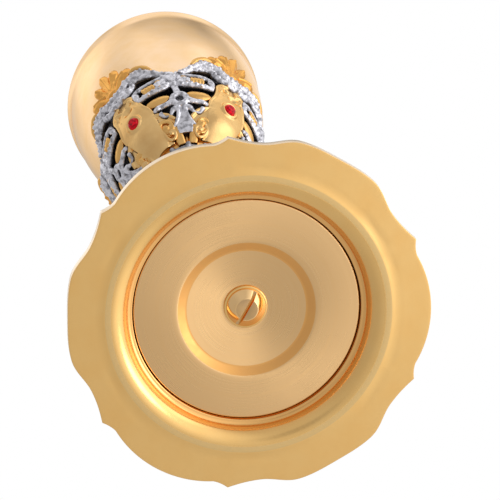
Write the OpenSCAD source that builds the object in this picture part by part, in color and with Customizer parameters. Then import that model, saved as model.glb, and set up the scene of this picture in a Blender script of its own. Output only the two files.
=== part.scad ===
// Baroque chalice: lobed foot, turned underside, knotted stem, four-lobed calyx and plain cup.
// Origin at the centre of the resting plane, +Z up through the stem, +X through a narrow foot lobe.

/* [Foot] */
// Radius at the middle of a narrow lobe
lobe_r = 65.4; // [63:0.1:67]
// Radius of the notch on each side of a narrow lobe
notch_r = 63.3; // [62.5:0.1:64]
// Radius of the six cusps
cusp_r = 65; // [64:0.1:67]
// Radius of the valleys on each side of a wide lobe
valley_r = 62.1; // [61.8:0.1:63]
// Radius of the two humps of a wide lobe
hump_r = 64.9; // [63:0.1:66]
// Radius of the dip between the two humps
dip_r = 64.3; // [62:0.1:66]
// Height of the wavy side wall
rim_h = 5.5; // [4:0.5:6]
// Height of the foot's neck above the resting plane
foot_h = 70; // [66:1:74]

/* [Underside] */
// Outer radius of the narrow land that touches the table
land_r = 51.2; // [50.5:0.1:52]
// Width of that land
land_w = 1.9; // [1.5:0.1:2.2]
// Height of the flange outside the land above the table
flange_z = 0.6; // [0.3:0.1:1.5]
// Radius of the opening that takes the bottom disc
opening_r = 41; // [40.5:0.1:42]
// Radius of the bottom disc
disc_r = 40.3; // [39.5:0.1:40.4]
// Height of the disc's flat face above the table
disc_z = 6.8; // [6.3:0.1:7.2]
// Outer radius of the polished groove in the disc
groove_r = 24.8; // [23:0.1:27]
// Radius of the dished middle inside the groove
dish_r = 21.4; // [18:0.1:21.5]

/* [Tie bolt] */
// Radius of the bolt's bevelled head
head_r = 7; // [6:0.1:7.5]
// Radius of the head's flat face
face_r = 4.1; // [3:0.1:5]
// Width of the screwdriver slot
slot_w = 1.1; // [0.8:0.1:2]
// Direction of the slot in degrees from +X
slot_turn = -61; // [-180:1:180]
// Radius of the shank
shank_r = 3; // [2.5:0.1:3]

/* [Calyx] */
// Direction of the first cross in degrees from +X
calyx_turn = -6.7; // [-45:0.1:45]
// Height of the stones
stone_z = 208; // [206:0.5:210]
// Radius of a calyx stone
stone_r = 2.9; // [2:0.1:3.2]

/* [Cup] */
// Height of the lip above the table
lip_z = 303.5; // [300:0.5:306]
// Outer radius of the lip
lip_r = 40.4; // [40:0.1:41.5]
// Outer radius of the cup's wall below the flare
wall_r = 39.4; // [39.2:0.1:39.6]
// Thickness of the spun wall
wall_t = 1.2; // [0.8:0.1:2]

/* [Hidden] */

gilt = "goldenrod";
silvered = "silver";
ruby = "crimson";
round_fn = 96;
small_fn = 32;
fit_gap = 0.05;     // clearance between pieces that touch
bore_r = shank_r + 0.3;

// Angles from a narrow lobe's middle to the features of the foot's outline
notch_a = 18.5;
cusp_a = 23.5;
valley_a = 34.5;
hump_a = 47;

// Heights in the foot
step_h = 2;                     // height of the moulding above the side wall
step_in = 4;                    // how far that moulding is set in
foot_dome = [36, 7.5, 22, 19.5];    // centre r, centre z, width and height of the foot's dome
foot_wall = 3;
neck_r = 12.5;
ledge_r = 38.5;
ledge_z = disc_z + 1.3;
washer_t = 0.8;
washer_r = 7.8;
seat_z = 11;                    // height of the disc's seat for the washer

// Heights of the stem's joints
collar_top = foot_h + 7;
baluster_top = 112;
knot_bottom = 117;
knot_top = 159;
knot_mid = (knot_bottom + knot_top) / 2;
knot_r = 22;
upper_bottom = 164;
shell_bottom = 184;
calyx_z = 190;

// Cup: an ellipse from the boss to the flare, then a flared lip
flare_z = lip_z - 7.5;
bowl_z = 195.2;
bowl_depth = flare_z - bowl_z;
boss_r = 7;
boss_bottom = 187;
boss_top = 197;

calyx_gap = 0.4;
calyx_wall = 1.2;
calyx_top = 230;
shield_bottom = 199.6;
lobes = 4;

// Radius of the cup's outside, grown by g, at the height z
function cup_r(z, g = 0) = (wall_r + g) * sqrt(1 - pow((flare_z - z) / (bowl_depth + g), 2));
// Height of the cup's outside, grown by g, at the radius r
function cup_z(r, g = 0) = flare_z - (bowl_depth + g) * sqrt(1 - pow(r / (wall_r + g), 2));
// Point at the radius r, the direction a and the height z
function at(r, a, z) = [r * cos(a), r * sin(a), z];

// Parabola that leaves r0 at a0 level and reaches r1 at a1
function bow(a, a0, r0, a1, r1) = r0 + (r1 - r0) * pow((a - a0) / (a1 - a0), 2);
// Smooth step from r0 at a0 to r1 at a1, level at both ends
function ease(a, a0, r0, a1, r1) = r0 + (r1 - r0) * (1 - cos(180 * (a - a0) / (a1 - a0))) / 2;
// Angle a folded into one sixth of a turn
function fold(a) = a % 120 > 60 ? 120 - a % 120 : a % 120;
function outline_r(a) =
    a < notch_a ? bow(a, 0, lobe_r, notch_a, notch_r) :
    a < cusp_a ? bow(a, notch_a, notch_r, cusp_a, cusp_r) :
    a < valley_a ? bow(a, valley_a, valley_r, cusp_a, cusp_r) :
    a < hump_a ? ease(a, valley_a, valley_r, hump_a, hump_r) :
    ease(a, hump_a, hump_r, 60, dip_r);

module outline(inset = 0) {
    polygon([for (a = [0:1.5:358.5]) (outline_r(fold(a)) - inset) * [cos(a), sin(a)]]);
}

// Round bar from p to q
module rod(p, q, r1, r2) {
    d = q - p;
    translate(p) rotate([0, acos(d.z / norm(d)), atan2(d.y, d.x)])
        cylinder(h = norm(d), r1 = r1, r2 = r2, $fn = small_fn);
}

// Children with their Z axis outward at the direction a, tipped down by the angle down
module seat(a, r, z, down) {
    rotate([0, 0, a]) translate([r, 0, z]) rotate([0, 90 + down, 0]) children();
}

// Turned piece on the stem: a tube with a round bead in the middle
module turned_collar(z0, z1, r, bead) {
    difference() {
        union() {
            translate([0, 0, z0]) cylinder(h = z1 - z0, r = r, $fn = round_fn);
            translate([0, 0, (z0 + z1) / 2]) rotate_extrude($fn = round_fn)
                translate([r, 0]) circle(r = bead, $fn = small_fn);
        }
        stem_bore(z0, z1);
    }
}

module stem_bore(z0, z1, r = bore_r) {
    translate([0, 0, z0 - 1]) cylinder(h = z1 - z0 + 2, r = r, $fn = small_fn);
}

// Turned swelling between z0 and z1, from the radius r_end to r_mid
module baluster(z0, z1, r_end, r_mid) {
    steps = 12;
    difference() {
        rotate_extrude($fn = round_fn) polygon(concat(
            [[0, z0]],
            [for (i = [0:steps]) [r_end + (r_mid - r_end) * sin(180 * i / steps),
                                  z0 + (z1 - z0) * i / steps]],
            [[0, z1]]
        ));
        stem_bore(z0, z1);
    }
}

// Outside of the foot above its wavy plinth, shrunk by inset
module foot_profile(inset = 0) {
    dome = [for (t = [0:10:90]) [foot_dome[0] + (foot_dome[2] - inset) * cos(t),
                                 foot_dome[1] + (foot_dome[3] - inset) * sin(t)]];
    bell_r = foot_dome[0] - 2;
    bell_z = foot_dome[1] + foot_dome[3] + 2;
    bell = [for (t = [0:10:90]) [bell_r - (bell_r - neck_r) * sin(t) - inset,
                                 foot_h - (foot_h - bell_z) * cos(t) - inset]];
    polygon(concat([[0, foot_dome[1]]], dome, bell, [[0, foot_h - inset]]));
}

// Turned cove and bead between the land and the disc, with the pocket for the disc
module foot_opening() {
    land_in = land_r - land_w;
    cove = [for (t = [0:15:90]) [land_in - 6.3 * sin(t), 5.2 * (1 - cos(t))]];
    bead_r = land_in - 6.3 - opening_r;
    bead = [for (t = [15:15:90]) [opening_r + bead_r * cos(t), 5.2 + 1.2 * sin(t)]];
    polygon(concat([[0, -1], [land_in, -1]], cove, bead, [[opening_r, ledge_z], [0, ledge_z]]));
}

// Room under the flange, which stands clear of the table outside the land
module flange_relief() {
    relief_w = 3.2;
    edge = lobe_r + 5;
    hollow = [for (t = [0:15:90]) [land_r + relief_w * (1 - cos(t)), flange_z * sin(t)]];
    rotate_extrude($fn = round_fn) polygon(concat([[land_r, -1]], hollow, [[edge, flange_z], [edge, -1]]));
}

module foot_casting() {
    color(gilt) difference() {
        union() {
            linear_extrude(rim_h) outline();
            translate([0, 0, rim_h]) linear_extrude(step_h) outline(step_in);
            rotate_extrude($fn = round_fn) foot_profile();
        }
        rotate_extrude($fn = round_fn) foot_opening();
        rotate_extrude($fn = round_fn) intersection() {
            foot_profile(foot_wall);
            translate([0, ledge_z + foot_wall]) square([neck_r + foot_h, foot_h]);
        }
        translate([0, 0, ledge_z - 1]) cylinder(h = foot_wall + 2, r = ledge_r, $fn = round_fn);
        flange_relief();
        stem_bore(0, foot_h);
    }
}

module foot_bottom_disc() {
    sheet = 1.2;
    under = [[bore_r, seat_z], [washer_r + 0.6, seat_z], [dish_r, disc_z + 1.4],
             [groove_r - 0.8, disc_z + 1.2], [groove_r, disc_z], [disc_r, disc_z]];
    over = [for (i = [len(under) - 1:-1:0]) under[i] + [0, sheet]];
    color("burlywood") rotate_extrude($fn = round_fn) polygon(concat(under, over));
}

module tie_bolt() {
    head_top = seat_z - washer_t;
    bevel_h = head_top - disc_z - 0.8;
    color(gilt) difference() {
        union() {
            translate([0, 0, disc_z]) cylinder(h = bevel_h, r1 = face_r, r2 = head_r, $fn = round_fn);
            translate([0, 0, disc_z + bevel_h]) cylinder(h = 0.8, r = head_r, $fn = round_fn);
            translate([0, 0, disc_z + 1]) cylinder(h = boss_top - 2 - disc_z, r = shank_r, $fn = small_fn);
        }
        rotate([0, 0, slot_turn]) translate([-head_r - 1, -slot_w / 2, disc_z - 1])
            cube([2 * head_r + 2, slot_w, 2.4]);
    }
}

module bolt_washer() {
    color(gilt) difference() {
        translate([0, 0, seat_z - washer_t]) cylinder(h = washer_t, r = washer_r, $fn = round_fn);
        stem_bore(seat_z - washer_t, seat_z);
    }
}

// Direction, height and slope of the middle of the foot's dome
foot_seat = [foot_dome[0] + foot_dome[2] * cos(45), foot_dome[1] + foot_dome[3] * sin(45)];
foot_stone_seat = foot_seat + [1.2, 1.2];

module foot_shield(i) {
    a = 120 * i - 60;
    color(gilt) difference() {
        union() {
            rotate([0, 0, a]) translate([foot_seat.x - 10, 0, foot_seat.y - 10])
                sphere(r = 16, $fn = 64);
            seat(a, foot_stone_seat.x, foot_stone_seat.y, -45) cylinder(h = 2.4, r = 5, $fn = small_fn);
        }
        rotate_extrude($fn = round_fn) foot_profile(-fit_gap);
        translate([0, 0, -20]) cylinder(h = 20 + foot_dome[1] + 1, r = 80, $fn = round_fn);
        seat(a, foot_stone_seat.x, foot_stone_seat.y, -45)
            translate([0, 0, 1.4]) cylinder(h = 3, r = 3.6, $fn = small_fn);
    }
}

// Faceted stone: a low cone on a short girdle
module stone(r, girdle, table) {
    cylinder(h = girdle, r = r, $fn = small_fn);
    translate([0, 0, girdle]) cylinder(h = table, r1 = r, r2 = r * 0.55, $fn = small_fn);
}

module foot_stone(i) {
    color(ruby) seat(120 * i - 60, foot_stone_seat.x, foot_stone_seat.y, -45)
        translate([0, 0, 1.4 + fit_gap]) stone(3.6 - fit_gap, 0.9, 1.3);
}

// Cross lying on the foot's dome over a narrow lobe
module foot_cross(i) {
    lift = 2.8;
    bar = 1.3;
    function dome_point(t, b) = at(foot_dome[0] + (foot_dome[2] + lift) * cos(t), b,
                                   foot_dome[1] + (foot_dome[3] + lift) * sin(t));
    color(silvered) rotate([0, 0, 120 * i - 120]) {
        translate(dome_point(45, 0)) sphere(r = 2.6, $fn = small_fn);
        rod(dome_point(45, 0), dome_point(17, 0), bar, bar);
        rod(dome_point(45, 0), dome_point(77, 0), bar, bar);
        rod(dome_point(45, 9), dome_point(45, -9), 1.1, 1.1);
    }
}

// Scrollwork along the edge of a wide lobe: a rim bar and two hoops on the foot's dome
module foot_scroll(i) {
    bar = 1.5;
    bar_z = foot_dome[1] + 1.9;
    hoop_t = 20;
    hoop_r = 4.4;
    spread = 25;
    color(silvered) rotate([0, 0, 120 * i - 60]) {
        rotate([0, 0, -spread]) rotate_extrude(angle = 2 * spread, $fn = round_fn)
            translate([foot_dome[0] + foot_dome[2] + bar + 0.1, bar_z]) circle(r = bar, $fn = small_fn);
        for (side = [-1, 1])
            seat(side * 17, foot_dome[0] + (foot_dome[2] + 2) * cos(hoop_t),
                 foot_dome[1] + (foot_dome[3] + 2) * sin(hoop_t), -hoop_t)
                rotate_extrude($fn = small_fn) translate([hoop_r, 0]) circle(r = 1.3, $fn = small_fn);
    }
}

module foot_collar() {
    color(gilt) turned_collar(foot_h, collar_top, neck_r, 2);
}

module lower_baluster() {
    color(gilt) baluster(collar_top, baluster_top, 8, 13);
}

module knot_lower_collar() {
    color(silvered) turned_collar(baluster_top, knot_bottom, 11, 1.6);
}

module knot_core() {
    color(gilt) baluster(knot_bottom, knot_top, 9, knot_r);
}

module knot_band() {
    color(silvered) difference() {
        translate([0, 0, knot_mid - 3.5]) cylinder(h = 7, r = knot_r + 2.4, $fn = round_fn);
        translate([0, 0, knot_mid - 4]) cylinder(h = 8, r = knot_r + fit_gap, $fn = round_fn);
        for (i = [1:lobes])
            seat(knot_stone_a(i), knot_r + 1, knot_mid, 0) cylinder(h = 3, r = 3, $fn = small_fn);
    }
}

function knot_stone_a(i) = calyx_turn + 45 + 90 * i;

module knot_stone(i) {
    color(ruby) seat(knot_stone_a(i), knot_r + 1 + fit_gap, knot_mid, 0)
        stone(3 - fit_gap, 1.3, 1.2);
}

module knot_upper_collar() {
    color(silvered) turned_collar(knot_top, upper_bottom, 11, 1.6);
}

module upper_baluster() {
    color(gilt) baluster(upper_bottom, shell_bottom, 7.5, 11);
}

module calyx_collar() {
    flutes = 12;
    bottom = shell_bottom;
    color(silvered) difference() {
        union() {
            translate([0, 0, bottom]) cylinder(h = calyx_z - bottom, r1 = 9, r2 = 13, $fn = round_fn);
            for (i = [1:flutes])
                rotate([0, 0, 360 * i / flutes]) translate([12, 0, calyx_z - 3])
                    cylinder(h = 3, r = 2.6, $fn = small_fn);
        }
        translate([0, 0, boss_bottom - fit_gap]) cylinder(h = 10, r = boss_r + fit_gap, $fn = round_fn);
        stem_bore(bottom, calyx_z);
    }
}

// Solid inside the calyx, with its skin g outside the cup's
module inside_calyx(g, top = flare_z) {
    steps = 16;
    bottom = bowl_z - g;
    rotate_extrude($fn = round_fn) polygon(concat(
        [[0, bottom]],
        [for (i = [1:steps]) let (z = bottom + (top - bottom) * pow(i / steps, 2)) [cup_r(z, g), z]],
        [[0, top]]
    ));
}

module calyx_base() {
    skin = calyx_gap + calyx_wall + fit_gap;
    color(gilt) difference() {
        rotate_extrude($fn = round_fn) polygon(concat(
            [[boss_r + fit_gap, calyx_z]],
            [for (t = [0:15:90]) [14.5 + 9 * sin(t), calyx_z + 9.5 * (1 - cos(t))]],
            [[boss_r + fit_gap, shield_bottom - 0.1]]
        ));
        inside_calyx(skin);
    }
}

module calyx_cup() {
    color("dimgray") difference() {
        inside_calyx(calyx_gap + calyx_wall, calyx_top);
        inside_calyx(calyx_gap, calyx_top + 1);
        translate([0, 0, boss_bottom]) cylinder(h = 14, r = boss_r + fit_gap, $fn = round_fn);
    }
}

function shield_a(i) = calyx_turn + 45 + 90 * (i - 1);
function cross_a(i) = calyx_turn + 90 * (i - 1);
bezel_seat = [26.4, stone_z];
bezel_down = 24;

// Wall between the calyx cup and a bulging skin grown by g, from z0 to z1, over the angle 2 * spread
module shield_wall(z0, z1, spread, g) {
    steps = 5;
    skin = calyx_gap + calyx_wall + fit_gap + g / 4;
    heights = [for (i = [0:steps]) z0 + (z1 - z0) * i / steps];
    rotate([0, 0, -spread]) rotate_extrude(angle = 2 * spread, $fn = round_fn) polygon(concat(
        [for (z = heights) [cup_r(z, skin), z]],
        [for (i = [steps:-1:0]) [shield_r(heights[i]) + g, heights[i]]]
    ));
}

// Radius of the shield's skin at the height z
function shield_r(z) = 24.4 + 8 * sin(90 * (z - shield_bottom) / (calyx_top - shield_bottom));

module calyx_shield(i) {
    color(gilt) difference() {
        union() {
            rotate([0, 0, shield_a(i)]) {
                shield_wall(shield_bottom, shield_bottom + 5.4, 43.5, 0);
                shield_wall(shield_bottom + 1, shield_bottom + 17.4, 19, 0.5);
                shield_wall(shield_bottom + 2, calyx_top - 4, 9, 1);
            }
            seat(shield_a(i), bezel_seat.x, bezel_seat.y, bezel_down)
                translate([0, 0, -1]) cylinder(h = 4, r1 = 5.4, r2 = 4, $fn = small_fn);
        }
        seat(shield_a(i), bezel_seat.x, bezel_seat.y, bezel_down)
            translate([0, 0, 0.4]) cylinder(h = 8, r = stone_r, $fn = small_fn);
    }
}

module calyx_stone(i) {
    color(ruby) seat(shield_a(i), bezel_seat.x, bezel_seat.y, bezel_down)
        translate([0, 0, 0.4 + fit_gap]) stone(stone_r - fit_gap, 2.2, 1.1);
}

// Cross that stands off the cup between two shields, on a rivet through its hub
module calyx_cross(i) {
    hub = at(27.6, 0, stone_z + 1);
    hub_down = 26;
    prong_split = at(24, 0, 202.5);
    rivet_back = cup_r(hub.z, calyx_gap + calyx_wall) + 1;
    arm = 1.5;
    color(silvered) rotate([0, 0, cross_a(i)]) {
        difference() {
            union() {
                seat(0, hub.x - 1.2, hub.z + 0.6, hub_down) cylinder(h = 2.4, r = 3.6, $fn = small_fn);
                rod(hub, at(32.6, 0, 226), arm, arm);
                rod(hub, prong_split, arm, arm);
                for (side = [-1, 1]) {
                    rod(hub, at(28.6, 19 * side, hub.z + 1), arm, 1.1);
                    rod(prong_split, at(21.8, 11 * side, 199), 1.2, 1.2);
                }
            }
            seat(0, hub.x - 3, hub.z, hub_down) cylinder(h = 8, r = 1.2, $fn = small_fn);
            inside_calyx(calyx_gap + calyx_wall + fit_gap);
            calyx_base_room();
        }
    }
}

// Space that the calyx base fills
module calyx_base_room() {
    translate([0, 0, calyx_z - 1]) cylinder(h = shield_bottom - calyx_z + 1, r = 30, $fn = round_fn);
}

// Arch over a shield: two hoops and a beaded bar, lying on the cup
module calyx_scroll(i) {
    hoop_r = 5.2;
    hoop_z = 237.5;
    hoop_a = 16;
    tube = 1.5;
    stand = 2.6;
    slope = 16;
    color(silvered) rotate([0, 0, shield_a(i)]) {
        for (side = [-1, 1])
            seat(hoop_a * side, cup_r(hoop_z) + stand, hoop_z, slope) rotate_extrude($fn = small_fn)
                translate([hoop_r, 0]) circle(r = tube, $fn = small_fn);
        rod(at(cup_r(233) + stand, -14, 233), at(cup_r(233) + stand, 14, 233), tube, tube);
        rod(at(cup_r(240) + stand, -9, 240), at(cup_r(240) + stand, 9, 240), tube, tube);
    }
}

// Palmette of five petals above an arch
module calyx_crest(i) {
    root_z = 243.4;
    root_r = cup_r(root_z) + 2.6;
    color(gilt) rotate([0, 0, shield_a(i)]) {
        rod(at(root_r, -6, root_z), at(root_r, 6, root_z), 1.7, 1.7);
        for (k = [-2:2]) {
            tip_z = 262 - 2.8 * k * k;
            tip = at(cup_r(tip_z) + 2.6, 6.5 * k, tip_z);
            rod(at(root_r, 2.5 * k, root_z), tip, 1.1, 1.6);
            translate(tip) sphere(r = 1.9, $fn = small_fn);
        }
    }
}

module bowl() {
    lip_bead = wall_t / 2;
    floor_t = 3;
    boss_tilt = acos((flare_z - boss_top) / bowl_depth);
    function skin(t, inset, lift) = [for (u = [5:5:90]) let (b = t + (90 - t) * u / 90)
                                     [(wall_r - inset) * sin(b), flare_z - (bowl_depth - lift) * cos(b)]];
    outer = skin(boss_tilt, 0, 0);
    inner = skin(0, wall_t, floor_t);
    lip = [for (t = [0:20:180]) [lip_r - lip_bead * (1 - cos(t)), lip_z - lip_bead * (1 - sin(t))]];
    color("moccasin") rotate_extrude($fn = 128) polygon(concat(
        [[0, boss_top], [wall_r * sin(boss_tilt), boss_top]], outer, lip,
        [for (k = [len(inner) - 1:-1:0]) inner[k]], [[0, inner[0].y]]
    ));
}

module bowl_boss() {
    color(gilt) difference() {
        translate([0, 0, boss_bottom]) cylinder(h = boss_top - boss_bottom, r = boss_r, $fn = round_fn);
        translate([0, 0, boss_bottom - 1])
            cylinder(h = boss_top - boss_bottom, r = shank_r + fit_gap, $fn = small_fn);
    }
}

foot_casting();
foot_bottom_disc();
foot_shield(1);  // foot_shield_1
foot_shield(2);  // foot_shield_2
foot_shield(3);  // foot_shield_3
foot_stone(1);  // foot_stone_1
foot_stone(2);  // foot_stone_2
foot_stone(3);  // foot_stone_3
foot_cross(1);  // foot_cross_1
foot_cross(2);  // foot_cross_2
foot_cross(3);  // foot_cross_3
foot_scroll(1);  // foot_scroll_1
foot_scroll(2);  // foot_scroll_2
foot_scroll(3);  // foot_scroll_3
tie_bolt();
bolt_washer();
foot_collar();
lower_baluster();
knot_lower_collar();
knot_core();
knot_band();
knot_upper_collar();
upper_baluster();
knot_stone(1);  // knot_stone_1
knot_stone(2);  // knot_stone_2
knot_stone(3);  // knot_stone_3
knot_stone(4);  // knot_stone_4
calyx_collar();
calyx_base();
calyx_cup();
calyx_shield(1);  // calyx_shield_1
calyx_shield(2);  // calyx_shield_2
calyx_shield(3);  // calyx_shield_3
calyx_shield(4);  // calyx_shield_4
calyx_stone(1);  // calyx_stone_1
calyx_stone(2);  // calyx_stone_2
calyx_stone(3);  // calyx_stone_3
calyx_stone(4);  // calyx_stone_4
calyx_cross(1);  // calyx_cross_1
calyx_cross(2);  // calyx_cross_2
calyx_cross(3);  // calyx_cross_3
calyx_cross(4);  // calyx_cross_4
calyx_scroll(1);  // calyx_scroll_1
calyx_scroll(2);  // calyx_scroll_2
calyx_scroll(3);  // calyx_scroll_3
calyx_scroll(4);  // calyx_scroll_4
calyx_crest(1);  // calyx_crest_1
calyx_crest(2);  // calyx_crest_2
calyx_crest(3);  // calyx_crest_3
calyx_crest(4);  // calyx_crest_4
bowl();
bowl_boss();
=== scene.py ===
import math

import bmesh
import bpy
import numpy as np
from mathutils import Matrix, Vector


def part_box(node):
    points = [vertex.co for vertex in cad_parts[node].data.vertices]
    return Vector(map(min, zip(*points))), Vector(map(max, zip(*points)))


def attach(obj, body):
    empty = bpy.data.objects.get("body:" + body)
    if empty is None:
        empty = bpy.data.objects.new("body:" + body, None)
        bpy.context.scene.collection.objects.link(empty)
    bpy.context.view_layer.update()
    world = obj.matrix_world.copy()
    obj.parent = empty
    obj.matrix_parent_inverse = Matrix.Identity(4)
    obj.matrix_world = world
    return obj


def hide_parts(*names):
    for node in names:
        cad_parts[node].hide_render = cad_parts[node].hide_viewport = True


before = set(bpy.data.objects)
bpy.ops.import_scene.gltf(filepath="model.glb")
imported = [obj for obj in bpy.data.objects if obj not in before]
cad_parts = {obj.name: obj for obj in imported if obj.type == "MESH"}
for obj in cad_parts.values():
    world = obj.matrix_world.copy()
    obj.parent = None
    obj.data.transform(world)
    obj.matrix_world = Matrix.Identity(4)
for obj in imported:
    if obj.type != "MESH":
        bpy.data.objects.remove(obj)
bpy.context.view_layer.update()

# All lengths below are in millimetres, heights are above the table, and angles are in degrees.
MM = 0.001
BODY = "root"
LOBES = 4                    # shields, and crosses, round the calyx
FOOT_LOBES = 3               # wide lobes, and narrow lobes, round the foot


# ---------------------------------------------------------------- sizes from the CAD frame

def reach(node):
    """Largest distance of a node from the stem's axis, along X or Y."""
    low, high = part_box(node)
    return max(high.x, high.y, -low.x, -low.y) / MM


def heights(node):
    low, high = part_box(node)
    return low.z / MM, high.z / MM


def heading(node):
    """Direction of a node's middle, seen from above."""
    low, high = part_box(node)
    middle = (low + high) / 2
    return math.degrees(math.atan2(middle.y, middle.x))


def spread(node, count):
    """Directions of count like pieces round the stem, the first of them at a node."""
    first = heading(node)
    return [first + 360 / count * k for k in range(count)]


FOOT_TOP = heights("foot_casting")[1]
DISC_Z = heights("foot_bottom_disc")[0]
DISC_R = reach("foot_bottom_disc")
WASHER_R = reach("bolt_washer")
SEAT_Z = heights("bolt_washer")[1]
HEAD_R = reach("tie_bolt")
LIP_R = reach("bowl")
LIP_Z = heights("bowl")[1]
BORE_R = 3.3

# ---------------------------------------------------------------- meshes

def new_object(name, verts, faces):
    """Object from vertices in millimetres, smooth, with its normals turned outward."""
    mesh = bpy.data.meshes.new(name)
    mesh.from_pydata((np.asarray(verts) * MM).tolist(), [], faces)
    work = bmesh.new()
    work.from_mesh(mesh)
    bmesh.ops.recalc_face_normals(work, faces=work.faces)
    work.to_mesh(mesh)
    work.free()
    mesh.shade_smooth()
    obj = bpy.data.objects.new(name, mesh)
    bpy.context.scene.collection.objects.link(obj)
    return obj


def add_piece(obj, material, slot, *nodes):
    """Gives a piece its finish, and makes it stand for its CAD nodes on the one rigid body."""
    obj.data.materials.clear()
    obj.data.materials.append(material)
    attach(obj, BODY)
    if nodes:
        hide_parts(*nodes)
    return obj


def add_finish(obj, material, chosen):
    """Gives the faces for which chosen(face) is true a second finish."""
    obj.data.materials.append(material)
    for face in obj.data.polygons:
        if chosen(face):
            face.material_index = 1


def apply_modifiers(obj):
    graph = bpy.context.evaluated_depsgraph_get()
    mesh = bpy.data.meshes.new_from_object(obj.evaluated_get(graph))
    obj.modifiers.clear()
    obj.data = mesh


def arc(centre, radii, start, stop, steps):
    """Points on an ellipse round centre, from the angle start to stop."""
    t = np.radians(np.linspace(start, stop, steps))
    return [(centre[0] + radii[0] * math.cos(u), centre[1] + radii[1] * math.sin(u)) for u in t]


def rounded(points, steps=4):
    """Outline whose corners are rounded: each point is (r, z, rounding) or (r, z)."""
    out = []
    for i, point in enumerate(points):
        here = np.array(point[:2], float)
        size = point[2] if len(point) > 2 else 0
        if not size:
            out.append(here)
            continue
        before = np.array(points[i - 1][:2], float) - here
        after = np.array(points[(i + 1) % len(points)][:2], float) - here
        first = here + before / np.linalg.norm(before) * min(size, np.linalg.norm(before) / 2)
        last = here + after / np.linalg.norm(after) * min(size, np.linalg.norm(after) / 2)
        for t in np.linspace(0, 1, steps):
            out.append((1 - t) ** 2 * first + 2 * t * (1 - t) * here + t * t * last)
    return np.array(out)


def quads(rows, columns, close_rows=True, close_columns=True, flip=False):
    """Faces of a grid of vertices laid out row by row. A closed side joins its last line to its first."""
    faces = []
    for i in range(rows if close_rows else rows - 1):
        here, there = i * columns, (i + 1) % rows * columns
        for j in range(columns if close_columns else columns - 1):
            k = (j + 1) % columns
            if flip:
                faces.append((here + j, here + k, there + k, there + j))
            else:
                faces.append((here + j, there + j, there + k, here + k))
    return faces


def revolved(loop, segments=192, shape=None):
    """Vertices and faces of an (r, z) outline turned about Z. An outline that starts and ends on the
    axis gets a pole at each end, and any other is a closed ring. shape(angle, r, z) may bend it."""
    same = 1e-4
    loop = np.asarray(loop, float)
    apart = np.linalg.norm(loop - np.roll(loop, 1, axis=0), axis=1) > same
    loop = loop[apart]
    poles = loop[0, 0] == 0 and loop[-1, 0] == 0
    body = loop[1:-1] if poles else loop
    count = len(body)
    angle = np.linspace(0, 2 * math.pi, segments, endpoint=False)[:, None]
    r = np.broadcast_to(body[:, 0], (segments, count))
    z = np.broadcast_to(body[:, 1], (segments, count))
    if shape:
        r, z = shape(np.degrees(angle), r, z)
    verts = np.stack([r * np.cos(angle), r * np.sin(angle), z + 0 * angle], -1).reshape(-1, 3)
    faces = quads(segments, count, close_columns=not poles)
    if poles:
        bottom, top = len(verts), len(verts) + 1
        verts = np.vstack([verts, [0, 0, loop[0, 1]], [0, 0, loop[-1, 1]]])
        for i in range(segments):
            here, there = i * count, (i + 1) % segments * count
            faces.append((bottom, there, here))
            faces.append((top, here + count - 1, there + count - 1))
    return verts, faces


def revolve(name, loop, segments=192, shape=None):
    return new_object(name, *revolved(loop, segments, shape))


def ball(subdivisions, radius):
    work = bmesh.new()
    bmesh.ops.create_icosphere(work, subdivisions=subdivisions, radius=radius)
    verts = np.array([v.co for v in work.verts])
    faces = [tuple(v.index for v in f.verts) for f in work.faces]
    work.free()
    return verts, faces


def blend_step(low, high, x):
    t = np.clip((x - low) / (high - low), 0, 1)
    return t * t * (3 - 2 * t)


def arrays(*values):
    return np.broadcast_arrays(*[np.asarray(v, float) for v in values])


def cylindrical(angle, r, z):
    a = np.radians(angle)
    return np.stack([r * np.cos(a), r * np.sin(a), z], -1)


def curve_through(points, x):
    """Smooth curve through (x, y) points, with slopes that keep it from overshooting."""
    px, py = np.array(points, float).T
    x = np.asarray(x, float)
    secant = np.diff(py) / np.diff(px)
    slope = np.concatenate([[secant[0]], (secant[1:] + secant[:-1]) / 2, [secant[-1]]])
    turning = np.concatenate([[False], secant[1:] * secant[:-1] <= 0, [False]])
    slope[turning] = 0
    i = np.clip(np.searchsorted(px, x) - 1, 0, len(secant) - 1)
    width = px[i + 1] - px[i]
    t = (x - px[i]) / width
    hermite = (2 * t ** 3 - 3 * t ** 2 + 1) * py[i] + (t ** 3 - 2 * t ** 2 + t) * width * slope[i]
    hermite += (3 * t ** 2 - 2 * t ** 3) * py[i + 1] + (t ** 3 - t ** 2) * width * slope[i + 1]
    return hermite


def along_path(points, t):
    """Place on a smooth curve through points, where t counts the points from 0."""
    points = np.array(points, float)
    knots = np.arange(len(points))
    return [curve_through(np.stack([knots, column], 1), t) for column in points.T]


SWEEP = 450                  # degrees that a volute winds through


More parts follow.
